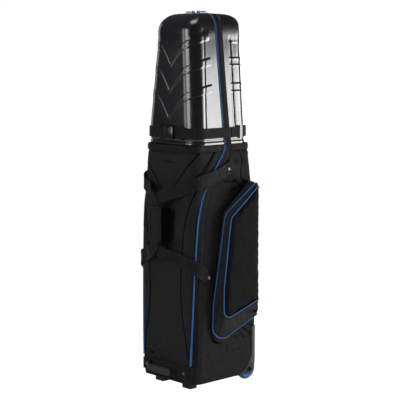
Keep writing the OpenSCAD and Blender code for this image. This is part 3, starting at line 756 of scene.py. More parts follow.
make_camera()
make_stage()


# ---------------------------------------------------------------- hard shell

SIDE_CREASE_DEPTH = 1.1
CHEVRON_TIPS = (942, 1036, 1126)
CHEVRON_BAND = 25
CHEVRON_RISE = 107
CHEVRON_END_Y = -45


def chevron_relief(x, y, z, s):
    """Raised bands that sweep up from a tip at the front's middle and end square on the sides."""
    out = np.zeros_like(x)
    rise = CHEVRON_RISE * 1.05 * (1 - np.exp(-np.abs(s) / 78))
    on = 1 - ramp(y, CHEVRON_END_Y - 1, 2)
    for tip in CHEVRON_TIPS:
        above = z - tip - rise
        thin = CHEVRON_BAND * (0.45 + 0.55 * ramp(np.abs(s), 4, 60))
        band = ramp(above, 0, 2.2) * (1 - ramp(above, thin, 2.2))
        nested = ridge(above - thin * 0.42, 0.8, 1.6) * ramp(np.abs(s), 8, 20) * (1 - ramp(np.abs(s), 78, 22))
        out = out + on * ((1.3 + 0.7 * ramp(y, -110, 30)) * band - 0.8 * nested)
    return out


def lip_relief(z):
    """A rolled lip over the hem, with a groove above it."""
    return 1.6 * ridge(z - 866, 3.5, 3) - 1.4 * ridge(z - 876, 1.5, 3)


def front_shell_relief(x, y, z, s):
    """Chevrons on a bowed front, creases down both sides, and the short ladder by the crown."""
    sec = section(SHELL_SECTIONS, float(z[0]))
    edge = lengths(sec)[1]
    beyond = np.abs(s) - edge
    fade = ramp(z, 885, 12) * (1 - ramp(z, SHOULDER + 10, 40))
    out = chevron_relief(x, y, z, s) * fade
    out = out + 6.0 * (1 - np.clip(s / edge, -1, 1) ** 2) * ramp(z, 880, 60) * (1 - ramp(z, CROWN - 60, 50))
    out = out - SIDE_CREASE_DEPTH * ridge(beyond - 3, 0.8, 1.8) * fade
    out = out + 0.9 * ramp(beyond, 3, 4) * fade
    ladder = ridge(np.abs(((z - 1230) % 26) - 13) - 13, 1.2, 1.6) * ridge(z - 1245, 36, 3)
    out = out - 1.0 * ladder * ridge(beyond - 6, 4, 2)
    return out + lip_relief(z)


def rear_shell_relief(x, y, z, s):
    """Sunk side fields with cross ribs, and upright ribs down the flat back."""
    fade = ramp(z, 885, 12) * (1 - ramp(z, SHOULDER - 2, 14))
    field = ramp(y, 48, 3) * fade
    out = -2.2 * field + 2.0 * ridge(y - 63, 2.5, 1.5) * field * (1 - ramp(z, 1216, 2))
    for height in (1044, 1069, 1135, 1158, 1240):
        out = out + 2.0 * ridge(z - height, 2.6, 1.4) * field
    out = out + 1.6 * ramp(z, 1212, 2) * (1 - ramp(z, 1238, 2)) * ramp(y, 56, 3) * field
    for offset in (-52, -26, 0, 26, 52):
        taper = 1 - 0.24 * (z - 900) / 324
        out = out + 1.9 * ridge(x - offset * taper, 3.5, 3) * ramp(y, 118, 6) * field
    return out + lip_relief(z)


def shell_rows(edge_behind, rear):
    """Rows up one shell, from its foot to the crown's zip line."""
    rows = []
    for z in np.concatenate([np.arange(SHELL_FOOT, SHOULDER, 2.6), [SHOULDER]]):
        rows.append((z, section(SHELL_SECTIONS, z)))
    rows += crown_rows(26)
    made = []
    for z, sec in rows:
        s0 = reach(sec, float(zip_edge(z, edge_behind)))
        made.append((z, sec, s0, 2 * lengths(sec)[4] - s0) if rear else (z, sec, -s0, s0))
    return made


def close_crown(grid, uv, y_edge):
    """Carries a shell's grid straight across the flat crown to the zip line."""
    steps = 16
    top = grid[-1]
    extra = []
    for k in range(1, steps + 1):
        row = top.copy()
        row[:, 1] += (y_edge - top[:, 1]) * k / steps
        row[:, 2] += 0.15 * math.sin(math.pi * k / steps)
        extra.append(row)
    grid = np.concatenate([grid, np.array(extra)])
    added = np.array([np.stack([uv[-1][:, 0], uv[-1][:, 1] + k * 8], axis=1) for k in range(1, steps + 1)])
    return grid, np.concatenate([uv, added])


def make_shells():
    for name, edge_behind, rear, columns, relief, body in (
            ("front_shell", -DOOR_EDGE, False, 181, front_shell_relief, "front_door"),
            ("rear_shell", PANEL_START, True, 161, rear_shell_relief, "case_back")):
        grid, uv = wall_grid(shell_rows(edge_behind, rear), columns, relief)
        grid, uv = close_crown(grid, uv, float(zip_y(CROWN)) + edge_behind)
        settle(thick_sheet(name + "_moulding", grid, 3, SHELL, uv), body, "shell", name)


# ---------------------------------------------------------------- fabric walls

WALL_CLOTH = 5.5
YOKE_TOP = (145, 838)
YOKE_LOW = (18, 694)
YOKE_DX, YOKE_DZ = YOKE_TOP[0] - YOKE_LOW[0], YOKE_TOP[1] - YOKE_LOW[1]
YOKE_LENGTH = math.hypot(YOKE_DX, YOKE_DZ)
YOKE_BAND = 52
FRONT_SEAM = [(93, 124), (178, 106), (300, 84), (440, 84), (606, 104), (700, 136), (765, 168), (838, 215)]


def yoke_distance(s, z):
    """Distance above the slanted seam that runs from the handle up to the hem, across the cloth."""
    return ((z - YOKE_LOW[1]) * YOKE_DX - (np.abs(s) - YOKE_LOW[0]) * YOKE_DZ) / YOKE_LENGTH


def waist(z):
    """The soft walls sag in a little between the hem and the pockets."""
    return -2.2 * np.exp(-(((z - 760) / 45) ** 2))


def front_panel_relief(x, y, z, s):
    """The yoke's band and seams, the long curved side seams, and soft cloth between them."""
    d = yoke_distance(s, z)
    upper = ramp(z, 668, 30)
    seam = -3.0 * (ridge(d, 1.6, 2.8) + ridge(d + YOKE_BAND, 1.6, 2.8) * ramp(np.abs(s), 40, 20)) * upper
    band = 1.2 * ramp(-d, 1, 3) * (1 - ramp(-d, YOKE_BAND - 4, 3)) * upper * ramp(np.abs(s), 18, 14)
    line = smooth_curve(FRONT_SEAM, z)
    below = 1 - ramp(d + YOKE_BAND, -6, 8) * upper
    side_seam = -3.2 * ridge(np.abs(s) - line, 1.6, 2.8) * below
    puff = 1.3 * ridge(np.abs(s) - line - 14, 4, 14) * below + 1.6 * ridge(s, float(line[0]) - 34, 26) * below
    hem = -2.0 * ramp(z, 822, 14) - 1.2 * (1 - ramp(z, 93, 8))
    folds = ripple(x, y, z, 150, 1.1, 0.4) + ripple(x, y, z, 47, 0.35, 2.0)
    creases = 1.6 * ridge(z - 815 + 0.10 * np.abs(s), 2, 9) * ramp(-np.abs(s), -70, 40)
    edge = -1.2 * ramp(-(zip_edge(z, -3.0) - y), -7, 6)
    folds = folds * 0.9 + crumple(x, y, z, 11, 3.8, 1.7) * (0.35 + 0.65 * ramp(-z, -330, 120))
    folds = folds + crumple(x, y, z, 10, 2.4, 0.4) * upper
    return seam + band + side_seam + puff + hem + folds + waist(z) + creases + edge


def side_panel_relief(sign):
    """Seam, hem and folds of the side panel on the right (1) or the left (-1)."""
    def relief(x, y, z, s):
        seam = -1.5 * ridge(y - 102, 0.8, 2.2) * ramp(z, 190, 20)
        hem = -1.6 * ramp(z, 824, 12)
        near_zip = -1.4 * (1 - ramp(y - zip_edge(z, PANEL_START), 0, 7))
        folds = ripple(x, y, z, 130, 1.3, 1.1 + sign) + ripple(x, y, z, 52, 0.5, 3.0 + sign)
        folds = folds + crumple(x, y, z, 11, 4.8 + 2.4 * ramp(-z, -280, 60), 2.6 + sign)
        pocket_shadow = -0.6 * ridge(y - 20, 60, 40) * ramp(z, 190, 30) * (1 - ramp(z, 720, 30))
        corner = -1.0 * (1 - ramp(z, BODY_FLOOR, 9))
        return seam + hem + near_zip + folds + pocket_shadow + corner + waist(z)
    return relief


def back_panel_relief(x, y, z, s):
    """Two upright seams and one across, with the middle puffed out."""
    seams = -1.5 * (ridge(np.abs(x) - 92, 0.9, 2.4) + ridge(z - 520, 0.9, 2.4))
    hem = -1.6 * ramp(z, 824, 12) - 1.2 * (1 - ramp(z, HOUSING_TOP + 1, 8))
    puff = 1.8 * ridge(x, 60, 30) * (1 - ridge(z - 520, 4, 26))
    return seams + hem + puff + ripple(x, y, z, 170, 0.9, 4.2)


def corner_arc_y(z):
    """Rear edge of the side panel above a wheel housing's curved boundary."""
    if z >= HOUSING_TOP + 1:
        return SEAM_Y
    r, centre_y, centre_z = 92.0, 35.0, 115.0
    if z >= centre_z:
        return centre_y + r
    return centre_y + math.sqrt(max(r * r - (centre_z - z) ** 2, 0.0))


def body_rows(heights, start, end):
    """Rows of the fabric body, each from start(z, section) to end(z, section)."""
    sections = [section(BODY_SECTIONS, z) for z in heights]
    return [(z, sec, start(z, sec), end(z, sec)) for z, sec in zip(heights, sections)]


def make_fabric_walls():
    def door_edge(z, sec):
        return reach(sec, float(zip_edge(z, -DOOR_EDGE)))

    def rear_edge(z, sec):
        return reach(sec, min(corner_arc_y(z), SEAM_Y))

    def strip_relief(x, y, z, s):
        return -1.4 * ramp(z, 82, 6) - 0.9 * ridge(z - 33, 0.8, 2) + ripple(x, y, z, 90, 0.6, 0.9)

    cloth = (WALL_CLOTH, FABRIC)
    rows = body_rows(np.linspace(FOLD_Z, BODY_TOP, 260), lambda z, c: -door_edge(z, c), door_edge)
    make_wall("front_panel_cloth", rows, 151, front_panel_relief, *cloth, "front_door", "body_fabric", "front_panel")

    for sign, side in ((1, "right"), (-1, "left")):
        upper = body_rows(np.linspace(FOLD_Z - 0.8, BODY_TOP, 230),
                          lambda z, c: reach(c, float(zip_edge(max(z, FOLD_Z), PANEL_START))), rear_edge)
        lower = body_rows(np.linspace(BODY_FLOOR, FOLD_Z - 1, 24), lambda z, c: reach(c, -145.5), rear_edge)
        for name, rows, nodes in (("cloth", upper, ["side_panel_" + side]), ("foot_cloth", lower, [])):
            grid, uv = wall_grid(rows, 110, side_panel_relief(sign))
            if sign < 0:
                grid = grid[:, ::-1] * (-1, 1, 1)
                uv = uv[:, ::-1] * (-1, 1)
            panel = thick_sheet(f"side_panel_{side}_{name}", grid, *cloth, uv)
            settle(panel, "case_back", "body_fabric", *nodes)

    rows = body_rows(np.linspace(HOUSING_TOP + 1, BODY_TOP, 150), lambda z, c: reach(c, SEAM_Y + 0.5),
                     lambda z, c: 2 * lengths(c)[4] - reach(c, SEAM_Y + 0.5))
    make_wall("back_panel_cloth", rows, 101, back_panel_relief, *cloth, "case_back", "body_fabric", "back_panel")
    rows = body_rows(np.linspace(BODY_FLOOR, FOLD_Z - 2, 26), lambda z, c: -reach(c, -146.0),
                     lambda z, c: reach(c, -146.0))
    make_wall("base_front_strip_cloth", rows, 101, strip_relief, *cloth, "case_back", "body_fabric",
              "base_front_strip")


def hem_section(z):
    """The body's section under the hem, plus the hem's rounded thickness."""
    sec = section(BODY_SECTIONS, z)
    belly = max(math.sin(math.pi * (z - HEM_LOW) / (HEM_HIGH - HEM_LOW)), 0.0) ** 0.5
    return [v + (0.5 + 1.6 * belly if i < 3 else 0) for i, v in enumerate(sec)]


def make_hems():
    def relief(x, y, z, s):
        return -0.7 * (ridge(z - HEM_LOW - 4, 0.6, 1.2) + ridge(z - HEM_HIGH + 4, 0.6, 1.2))

    for name, behind, columns, body in (("front", -DOOR_EDGE, 141, "front_door"),
                                        ("rear", PANEL_START, 121, "case_back")):
        rows = []
        for z in np.linspace(HEM_LOW, HEM_HIGH, 13):
            sec = hem_section(z)
            edge = reach(sec, float(zip_edge(z, behind)))
            rows.append((z, sec, *((-edge, edge) if name == "front" else (edge, 2 * lengths(sec)[4] - edge))))
        grid, uv = wall_grid(rows, columns, relief)
        hem = thick_sheet(name + "_hem_binding", grid, 2.0, WEB, uv[..., ::-1])
        settle(hem, body, "webbing", name + "_hem")


# ---------------------------------------------------------------- zip

def coil_along(name, path, normals, body, crest, root):
    """Moulded zip coil: a cord laid along a path, ribbed between two radii."""
    length = travelled(path)
    fine = np.arange(0, length[-1], 1.1)
    line, normal = read_at(path, length, fine), read_at(normals, length, fine)
    across = np.cross(unit(np.gradient(line, axis=0)), normal)
    points, sides = [], 6
    for i in range(len(line)):
        r = root if i % 2 else crest
        for k in range(sides):
            a = 2 * math.pi * k / sides
            points.append(line[i] + r * (across[i] * math.cos(a) + normal[i] * 0.75 * math.sin(a)))
    points = np.array(points)
    settle(make(name, points, loft_faces(len(line), sides), COIL, points[:, 1:3]), body, "zip")


def zip_base(offsets):
    """Grid on the case's outer surface: rows follow the zip over the crown, columns are offsets behind it."""
    def on_case(z, d):
        slope = float(zip_y(z + 1) - zip_y(z - 1)) / 2
        size = math.hypot(1, slope)
        down = max(z - d * slope / size, FOLD_Z + 0.3)
        sec = skin(down)
        x, y, _, _ = around(sec, reach(sec, float(zip_y(z)) + d / size))
        return float(x), float(y), down

    def on_crown(z, sec, d):
        x, y, _, _ = around(sec, reach(sec, float(zip_y(z)) + d))
        return float(x), float(y), z

    heights = np.concatenate([np.arange(FOLD_Z + 0.5, 620, 6), np.arange(620, 960, 3.5),
                              np.arange(960, SHOULDER, 7)])
    right = [[on_case(z, d) for d in offsets] for z in heights]
    right = np.array(right + [[on_crown(z, sec, d) for d in offsets] for z, sec in crown_rows(22)])
    steps = 14
    top = np.array([right[-1] * (1 - 2 * k / steps, 1, 1) for k in range(1, steps)])
    return np.concatenate([right, top, right[::-1] * (-1, 1, 1)])


def zip_surface(offsets):
    """The same grid and the normals that point out of the case there."""
    base = zip_base(offsets)
    normals = grid_normals(base)
    return base, normals * (1 if normals[5, len(offsets) // 2, 0] > 0 else -1)


STRIP_DEPTH = 2


def zip_strip(name, offsets, lifts, material, body, slot, *nodes):
    """A strip beside the zip: its outer face stands lifts off the case."""
    base, normals = zip_surface(offsets)
    uv = np.stack(np.meshgrid(offsets, travelled(base[:, 0])), axis=2)
    points, uv = both_faces(base + normals * np.asarray(lifts)[None, :, None], base - normals * STRIP_DEPTH, uv)
    settle(make(name, points, sheet_faces(*base.shape[:2]), material, uv), body, slot, *nodes)


def round_profile(half, height):
    """Offsets and lifts over half of an ellipse."""
    offsets = np.array([-half * math.cos(math.pi * k / 8) for k in range(9)])
    return offsets, height * np.sqrt(np.clip(1 - (offsets / half) ** 2, 0, 1))


def zip_row(offset, lift):
    """Path and normals of a line so far behind the zip."""
    base, normals = zip_surface(np.array([offset - 1.0, offset, offset + 1.0]))
    return base[:, 1] + normals[:, 1] * lift, normals[:, 1]


def make_zip():
    profile = round_profile(PIPING_HALF - 0.4, 2.9)
    zip_strip("door_piping_cord", *profile, PIPING, "front_door", "piping", "door_piping")
    for name, tape, lifts, edge, rows, body in (
            ("front", FRONT_TAPE, (0.1, 0.4, 0.3, 0.35, 0.3, 0.4, 0.5, 0.3), FRONT_TAPE[1] - 1.2,
             (4.6, 6.9), "front_door"),
            ("rear", REAR_TAPE, (0.3, 0.5, 0.4, 0.3, 0.35, 0.3, 0.4, 0.1), REAR_TAPE[0] + 1.0,
             (25.2, 28.4), "case_back")):
        zip_strip(name + "_zip_tape_cloth", np.linspace(*tape, 8), lifts, ZIP, body, "zip", name + "_zip_tape")
        coil_along("zip_coil_" + name, *zip_row(edge, 0.6), body, 1.05, 0.7)
        stitching(f"stitching_{name}_tape", [zip_row(behind, 0.4) for behind in rows], body, "zip")


# ---------------------------------------------------------------- padding and moulded blocks

def read_points(mesh, what="co"):
    """A mesh's points, or another vector of each vertex."""
    values = np.zeros(len(mesh.vertices) * 3)
    mesh.vertices.foreach_get(what, values)
    return values.reshape(-1, 3)


def keep_shape(obj):
    """Gives a piece the mesh that its modifiers make, and takes the modifiers off."""
    view = bpy.context.evaluated_depsgraph_get()
    mesh = bpy.data.meshes.new_from_object(obj.evaluated_get(view))
    obj.modifiers.clear()
    obj.data = mesh


def box_uv(obj):
    """Flat UVs in metres, seen along whichever axis each face looks down."""
    mesh = obj.data
    layer = mesh.uv_layers.active or mesh.uv_layers.new(name="UVMap")
    points = read_points(mesh)
    for face in mesh.polygons:
        axis = int(np.argmax(np.abs(face.normal)))
        a, b = [(1, 2), (0, 2), (0, 1)][axis]
        for loop in face.loop_indices:
            point = points[mesh.loops[loop].vertex_index]
            layer.data[loop].uv = (point[a], point[b])


def swell(obj, voxel, cap, pressure=4.0, relief=None):
    """Pads a closed piece: remeshed, blown up as cloth, and no point moved further than cap."""
    remesh = obj.modifiers.new("voxels", "REMESH")
    remesh.mode = "VOXEL"
    remesh.voxel_size = voxel * MM
    keep_shape(obj)
    start = read_points(obj.data)
    cloth = obj.modifiers.new("cloth", "CLOTH")
    cloth.settings.use_pressure = True
    cloth.settings.uniform_pressure_force = pressure
    cloth.settings.effector_weights.gravity = 0
    for step in range(1, 21):
        bpy.context.scene.frame_set(step)
    keep_shape(obj)
    bpy.context.scene.frame_set(1)
    moved = read_points(obj.data) - start
    size = np.linalg.norm(moved, axis=1, keepdims=True)
    moved *= np.minimum(1, cap * MM / np.maximum(size, 1e-9))
    obj.data.vertices.foreach_set("co", (start + moved).ravel())
    smooth = obj.modifiers.new("smooth", "SUBSURF")
    smooth.levels = smooth.render_levels = 1
    keep_shape(obj)
    if relief:
        points, normals = read_points(obj.data), read_points(obj.data, "normal")
        out = relief(*(points / MM).T, normals) * MM
        obj.data.vertices.foreach_set("co", (points + normals * out[:, None]).ravel())
    box_uv(obj)
    obj.data.shade_smooth()
    return obj


def bevelled(shape, width, name, material, place=None):
    """Finishes a bmesh of closed solids, in millimetres, as an object with rounded edges."""
    bmesh.ops.recalc_face_normals(shape, faces=shape.faces)
    bmesh.ops.bevel(shape, geom=shape.edges[:], offset=width, segments=3, profile=0.6, affect="EDGES",
                    clamp_overlap=True)
    for vert in shape.verts:
        point = place(*vert.co) if place else vert.co
        vert.co = Vector(point) * MM
    bmesh.ops.recalc_face_normals(shape, faces=shape.faces)
    mesh = bpy.data.meshes.new(name)
    shape.to_mesh(mesh)
    shape.free()
    mesh.materials.append(material)
    mesh.shade_smooth()
    return placed(name, mesh)


def blocks(name, boxes, width, material, place=None):
    """Rounded blocks in one piece, each from (x0, x1, y0, y1, z0, z1)."""
    shape = bmesh.new()
    for x0, x1, y0, y1, z0, z1 in boxes:
        made = bmesh.ops.create_cube(shape, size=1)["verts"]
        for vert in made:
            vert.co = Vector(((x0, x1)[vert.co.x > 0], (y0, y1)[vert.co.y > 0], (z0, z1)[vert.co.z > 0]))
    return bevelled(shape, width, name, material, place)


def plates(name, layers, width, material, place=None):
    """Flat moulded plates in one piece, each an (x, z) outline carried from y0 to y1."""
    shape = bmesh.new()
    for outline, y0, y1 in layers:
        near = [shape.verts.new((x, y0, z)) for x, z in outline]
        back = [shape.verts.new((x, y1, z)) for x, z in outline]
        shape.faces.new(near)
        shape.faces.new(back[::-1])
        for i in range(len(near)):
            j = (i + 1) % len(near)
            shape.faces.new((near[j], near[i], back[i], back[j]))
    return bevelled(shape, width, name, material, place)


def thick_ring(name, grid, thickness, material, uv):
    """Closed band whose rows run right round: the grid is its outer face."""
    rows, columns = grid.shape[:2]
    across = np.roll(grid, -1, axis=1) - np.roll(grid, 1, axis=1)
    n = unit(np.cross(across, np.gradient(grid, axis=0)))
    centre = grid.mean(axis=(0, 1))
    if np.mean(np.sum(n[..., 1:] * (grid - centre)[..., 1:], axis=2)) < 0:
        n = -n
    count, last = rows * columns, (rows - 1) * columns
    faces = grid_faces(rows, columns, closed=True) + grid_faces(rows, columns, count, flip=True, closed=True)
    for c in range(columns):
        d = (c + 1) % columns
        faces += [[d, c, c + count, d + count], [last + c, last + d, last + d + count, last + c + count]]
    points, uv = both_faces(grid, grid - n * thickness, uv)
    return make(name, points, faces, material, uv)


# ---------------------------------------------------------------- pockets

# Outlines in side view, as circles of (distance behind the middle, height, radius), from the top rear on
POCKET_BASE = [(104, 722, 6), (16, 598, 40), (-24, 300, 42), (-31, 200, 42), (104, 238, 6)]
POCKET_SEAM = [(102, 716, 6), (15, 599, 40), (-28, 300, 42), (-31, 225, 42), (102, 256, 6)]
POCKET_FACE = [(104, 704, 5), (10, 592, 31), (-22, 360, 28), (-25, 286, 25), (104, 311, 5)]
ARC_STEPS = (8, 14, 8, 16, 8)
RUN_STEPS = (44, 96, 24, 64, 70)
LEFT_SHIFT = 36.0
FLAP_T = 5.0
UNDERCUT = -1.5
GUSSET_CLOTH = 2.4


def seam_x(side, y):
    """How far out the pocket's seam stands."""
    return (155 if side > 0 else 160) + (y + 70) * 0.198


def face_x(side, y):
    """How far out the pocket's flap stands."""
    return (188 if side > 0 else 205) + (y + 60) * 0.0714


def outline(circles, grow=0.0):
    """Points and outward normals round a chain of circles, always as many in the same order."""
    c = np.array(circles, float)
    count = len(c)
    turned = []
    for i in range(count):
        j = (i + 1) % count
        e = c[j, :2] - c[i, :2]
        size = np.linalg.norm(e)
        e /= size
        lean = (c[i, 2] - c[j, 2]) / size
        n = lean * e + math.sqrt(1 - lean**2) * np.array([e[1], -e[0]])
        turned.append(math.atan2(n[1], n[0]))
    points, normals = [], []
    for i in range(count):
        j = (i + 1) % count
        a0, a1 = turned[i - 1], turned[i]
        while a1 < a0:
            a1 += 2 * math.pi
        for a in np.linspace(a0, a1, ARC_STEPS[i]):
            n = np.array([math.cos(a), math.sin(a)])
            points.append(c[i, :2] + n * (c[i, 2] + grow))
            normals.append(n)
        n = np.array([math.cos(turned[i]), math.sin(turned[i])])
        p0, p1 = c[i, :2] + n * (c[i, 2] + grow), c[j, :2] + n * (c[j, 2] + grow)
        for t in np.arange(1, RUN_STEPS[i] + 1) / (RUN_STEPS[i] + 1):
            points.append(p0 + (p1 - p0) * t)
            normals.append(n)
    return np.array(points), np.array(normals)


def pocket_point(side, x, y, z):
    """From the right pocket's own frame to its side of the case."""
    if side > 0:
        return np.stack([x, y, z], axis=-1)
    return np.stack([-x, y - LEFT_SHIFT, z], axis=-1)


def gusset_grid(side):
    """The gusset's outer face in rows round the pocket: a tucked part up to the seam, then the crinkled part."""
    base, normal = outline(POCKET_BASE, -UNDERCUT)
    seam, face = outline(POCKET_SEAM)[0], outline(POCKET_FACE)[0]
    along = travelled(seam)
    base_x = np.array([section(BODY_SECTIONS, z)[0] for z in base[:, 1]]) + 0.2
    out_x, top_x = seam_x(side, seam[:, 0]), face_x(side, face[:, 0]) - FLAP_T - 0.6
    drift = 0.35 * np.sin(along / 61) + 0.2 * np.sin(along / 23 + side)
    seed = 0.0 if side > 0 else 2.1

    def tucked(u, bow, z):
        return 1.6 * bow + 0.9 * bow * np.sin(along / 19 + 3 * drift + seed)

    def crinkled(u, bow, z):
        fold = np.sin(2 * math.pi * (along / 34 + drift) + 2.6 * u + seed)
        cross = np.sin(2 * math.pi * (along / 21 - drift) - 3.4 * u + 1.3 + seed)
        lower = 0.55 + 0.45 * ramp(-z, -420, 120)
        first = np.abs(np.sin(along / 11 + 2.1 * np.sin(along / 47 + seed) + 3.5 * u)) ** 0.5
        second = np.abs(np.sin(along / 7.5 - 1.6 * np.sin(along / 29) - 5 * u + seed)) ** 0.5
        crisp = 3.6 * (first - 0.7) + 2.4 * (second - 0.7)
        return bow * (1.8 + lower * (2.2 * np.abs(fold) ** 0.6 * np.sign(fold) + 1.2 * cross + crisp))

    rows = []
    for shares, a, b, xa, xb, relief in (
            (np.arange(9) / 9, base, seam, base_x, out_x, tucked),
            (np.arange(20) / 19, seam, face, out_x, top_x, crinkled)):
        for u in shares:
            yz = a + (b - a) * u
            yz = yz + normal * relief(u, math.sin(math.pi * u), yz[:, 1])[:, None]
            rows.append(pocket_point(side, xa + (xb - xa) * u, yz[:, 0], yz[:, 1]))
    return np.array(rows), np.stack(np.meshgrid(along, np.arange(len(rows)) * 3.6), axis=2)


def ring_on(side, circles, grow, x_of, lift=0.0):
    """Points round a pocket's outline, grown or shrunk, that stand lift off its face."""
    points, _ = outline(circles, grow)
    return pocket_point(side, x_of(side, points[:, 0]) + lift, points[:, 0], points[:, 1])


def flap_solid(side):
    """The flap before it is padded: its outline, carried through its thickness."""
    points, _ = outline(POCKET_FACE, -1.2)
    centre = points.mean(axis=0)
    rings = []
    shares = (0.04, 0.35, 0.7, 0.93)
    inner, outer = [(share, FLAP_T) for share in shares], [(share, 0.0) for share in shares[::-1]]
    for share, depth in inner + [(1, FLAP_T), (1, 0.6)] + outer:
        yz = centre + (points - centre) * share
        crown = 3.5 * (1 - share) if depth < 1 else 0
        rings.append(pocket_point(side, face_x(side, yz[:, 0]) - depth + crown, yz[:, 0], yz[:, 1]))
    return np.concatenate(rings), loft_faces(len(rings), len(points))


def flap_relief(side):
    def relief(x, y, z, normals):
        outer = np.clip(normals[:, 0] * side, 0, 1)
        fold = -1.7 * ridge(z - 372 - 0.45 * (y - 40), 1.5, 16) * ramp(y + (0 if side > 0 else LEFT_SHIFT), -5, 40)
        return outer * (ripple(x, y, z, 120, 1.3, 0.8 + side) + ripple(x, y, z, 44, 0.3, 2.2) + fold)
    return relief


def make_pocket(side, name):
    grid, uv = gusset_grid(side)
    gusset = thick_ring("pocket_gusset_cloth_" + name, grid[3:], GUSSET_CLOTH, CRINKLE, uv[3:])
    settle(gusset, "case_back", "body_fabric", "pocket_gusset_" + name)
    # The gusset's rows nearest the body are drawn in near-black cloth, a painted shadow in the undercut between
    # pocket and body.
    recess = thick_ring("pocket_recess_cloth_" + name, grid[:4], GUSSET_CLOTH, PAINTED_SHADE_CLOTH, uv[:4])
    settle(recess, "case_back", "body_fabric")
    shown = slice(2, sum(ARC_STEPS) + sum(RUN_STEPS[:4]) - 2)
    cord = tube(ring_on(side, POCKET_SEAM, 1.6, seam_x)[shown], 1.9, f"pocket_seam_piping_{name}_cord", PIPING)
    settle(cord, "case_back", "piping", *(["pocket_seam_piping"] if side > 0 else []))
    flap = make("pocket_flap_pad_" + name, *flap_solid(side), TWILL)
    swell(flap, 4.5, 5.0, 3.0, flap_relief(side))
    settle(flap, "flap_" + name, "body_fabric", "pocket_flap_" + name)
    cord = tube(ring_on(side, POCKET_FACE, 0.9, face_x, -1.6)[shown], 1.8, "flap_piping_cord_" + name, PIPING)
    settle(cord, "flap_" + name, "piping", "flap_piping_" + name)
    below, line, above = grid[24:27, ARC_STEPS[0]:-RUN_STEPS[4] - ARC_STEPS[4]]
    normals = unit(np.cross(np.gradient(line, axis=0), above - below))
    if normals[len(normals) // 2, 1] > 0:
        normals = -normals
    coil_along("pocket_zip_coil_" + name, line + normals * 0.4, normals, "case_back", 1.3, 0.858)
    stitches = ring_on(side, POCKET_FACE, -5.5, face_x, 2.6)
    outward = np.tile([float(side), 0.0, 0.0], (len(stitches), 1))
    stitching("stitching_flap_" + name, [(stitches, outward)], "flap_" + name, "body_fabric")


# ---------------------------------------------------------------- webbing straps and buckle

STRAP_Z = (low("strap_rear", "z") + high("strap_rear", "z")) / 2
STRAP_W = high("strap_rear", "z") - low("strap_rear", "z")
STRAP_T = 2.4
STRAP_LINE = [SHELL_HALF + 4.4, SHELL_FRONT + 4.4, SHELL_REAR + 4.4, 54.4, 54.4]
STRAP_JOINT_Y = 30
BUCKLE_X = -5.0
BUCKLE_Y = -SHELL_FRONT - 6.4


def strap_run(name, s0, s1, body, nodes, lift=0.0):
    """Webbing round the shell between two distances from the front's middle."""
    s = np.linspace(s0, s1, max(int(abs(s1 - s0) / 5), 8))
    x, y, nx, ny = around(STRAP_LINE, s)
    outward = np.stack([nx, ny, np.zeros(len(s))], axis=1)
    wander = 0.3 * np.sin(s / 47) + 0.15 * np.sin(s / 19 + 1)
    path = np.stack([x, y, STRAP_Z + wander], axis=1) + outward * lift
    across = outward * 0.03 * np.sin(s / 60)[:, None] + (0, 0, 1)
    strap = ribbon(path, across, STRAP_W - 1.2, STRAP_T, name, WEB)
    settle(strap, body, "webbing", *nodes)
    return strap, path, outward


def beside_door(piece):
    """Gives a piece that lies across the door a mesh of its own."""
    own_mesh(piece)


def make_shell_strap():
    edge, back = reach(STRAP_LINE, STRAP_JOINT_Y - 0.5), reach(STRAP_LINE, STRAP_JOINT_Y + 0.5)
    round_back = 2 * lengths(STRAP_LINE)[4] - back
    strap_run("shell_strap_rear_webbing", back, round_back, "case_back", ["strap_rear"])
    right, path, out = strap_run("shell_strap_right_webbing", 31, edge, "strap_right_half", ["strap_right"])
    left, _, _ = strap_run("shell_strap_left_webbing", -36, -edge, "strap_left_half", ["strap_left"])
    tail, _, _ = strap_run("shell_strap_tail", 66, 128, "strap_right_half", [], lift=2.7)
    rows = [(path[2:] + out[2:] * 1.3 + (0, 0, height), out[2:]) for height in (-14, 14)]
    seams = stitching("stitching_shell_strap", rows, "strap_right_half")
    for piece in (right, tail, seams):
        beside_door(piece)
    beside_door(left)


FEMALE_OUTLINE = [(-40, -21), (-37, -24.5), (-27, -25), (-23.5, -18.5), (-11, -18.5), (-7.5, -25), (-1.5, -25),
                  (0, -23.5), (0, 23.5), (-1.5, 25), (-7.5, 25), (-11, 18.5), (-23.5, 18.5), (-27, 25),
                  (-37, 24.5), (-40, 21)]
MALE_OUTLINE = [(0.7, -24), (4, -25), (30, -24), (38, -19), (38, 19), (30, 24), (4, 25), (0.7, 24)]
PRONG_OUTLINE = [(2, 11), (2, 17), (-9, 16.5), (-12, 19.5), (-21, 19.3), (-24.5, 15), (-23, 12.5), (-10, 12.2)]
PRONGS = [(PRONG_OUTLINE, -2.4, 1.6), ([(x, -z) for x, z in PRONG_OUTLINE][::-1], -2.4, 1.6)]
GUIDE_OUTLINE = [(2, -4), (2, 4), (-19, 3.4), (-22, 1.5), (-22, -1.5), (-19, -3.4)]
RELEASE_OUTLINE = [(-22, -9), (-16, -12), (-4, -11), (-4, 11), (-16, 12), (-22, 9)]


def curved_front(x, y, z):
    """Bends a buckle piece a little round the shell's front and moves it to its place."""
    bow = -(1.6 * (1 - (z / 27) ** 2) + 3.4 * (1 - (x / 42) ** 2)) * (1 if y < -2 else 0)
    return (BUCKLE_X + x, BUCKLE_Y + y + bow, STRAP_Z + z)


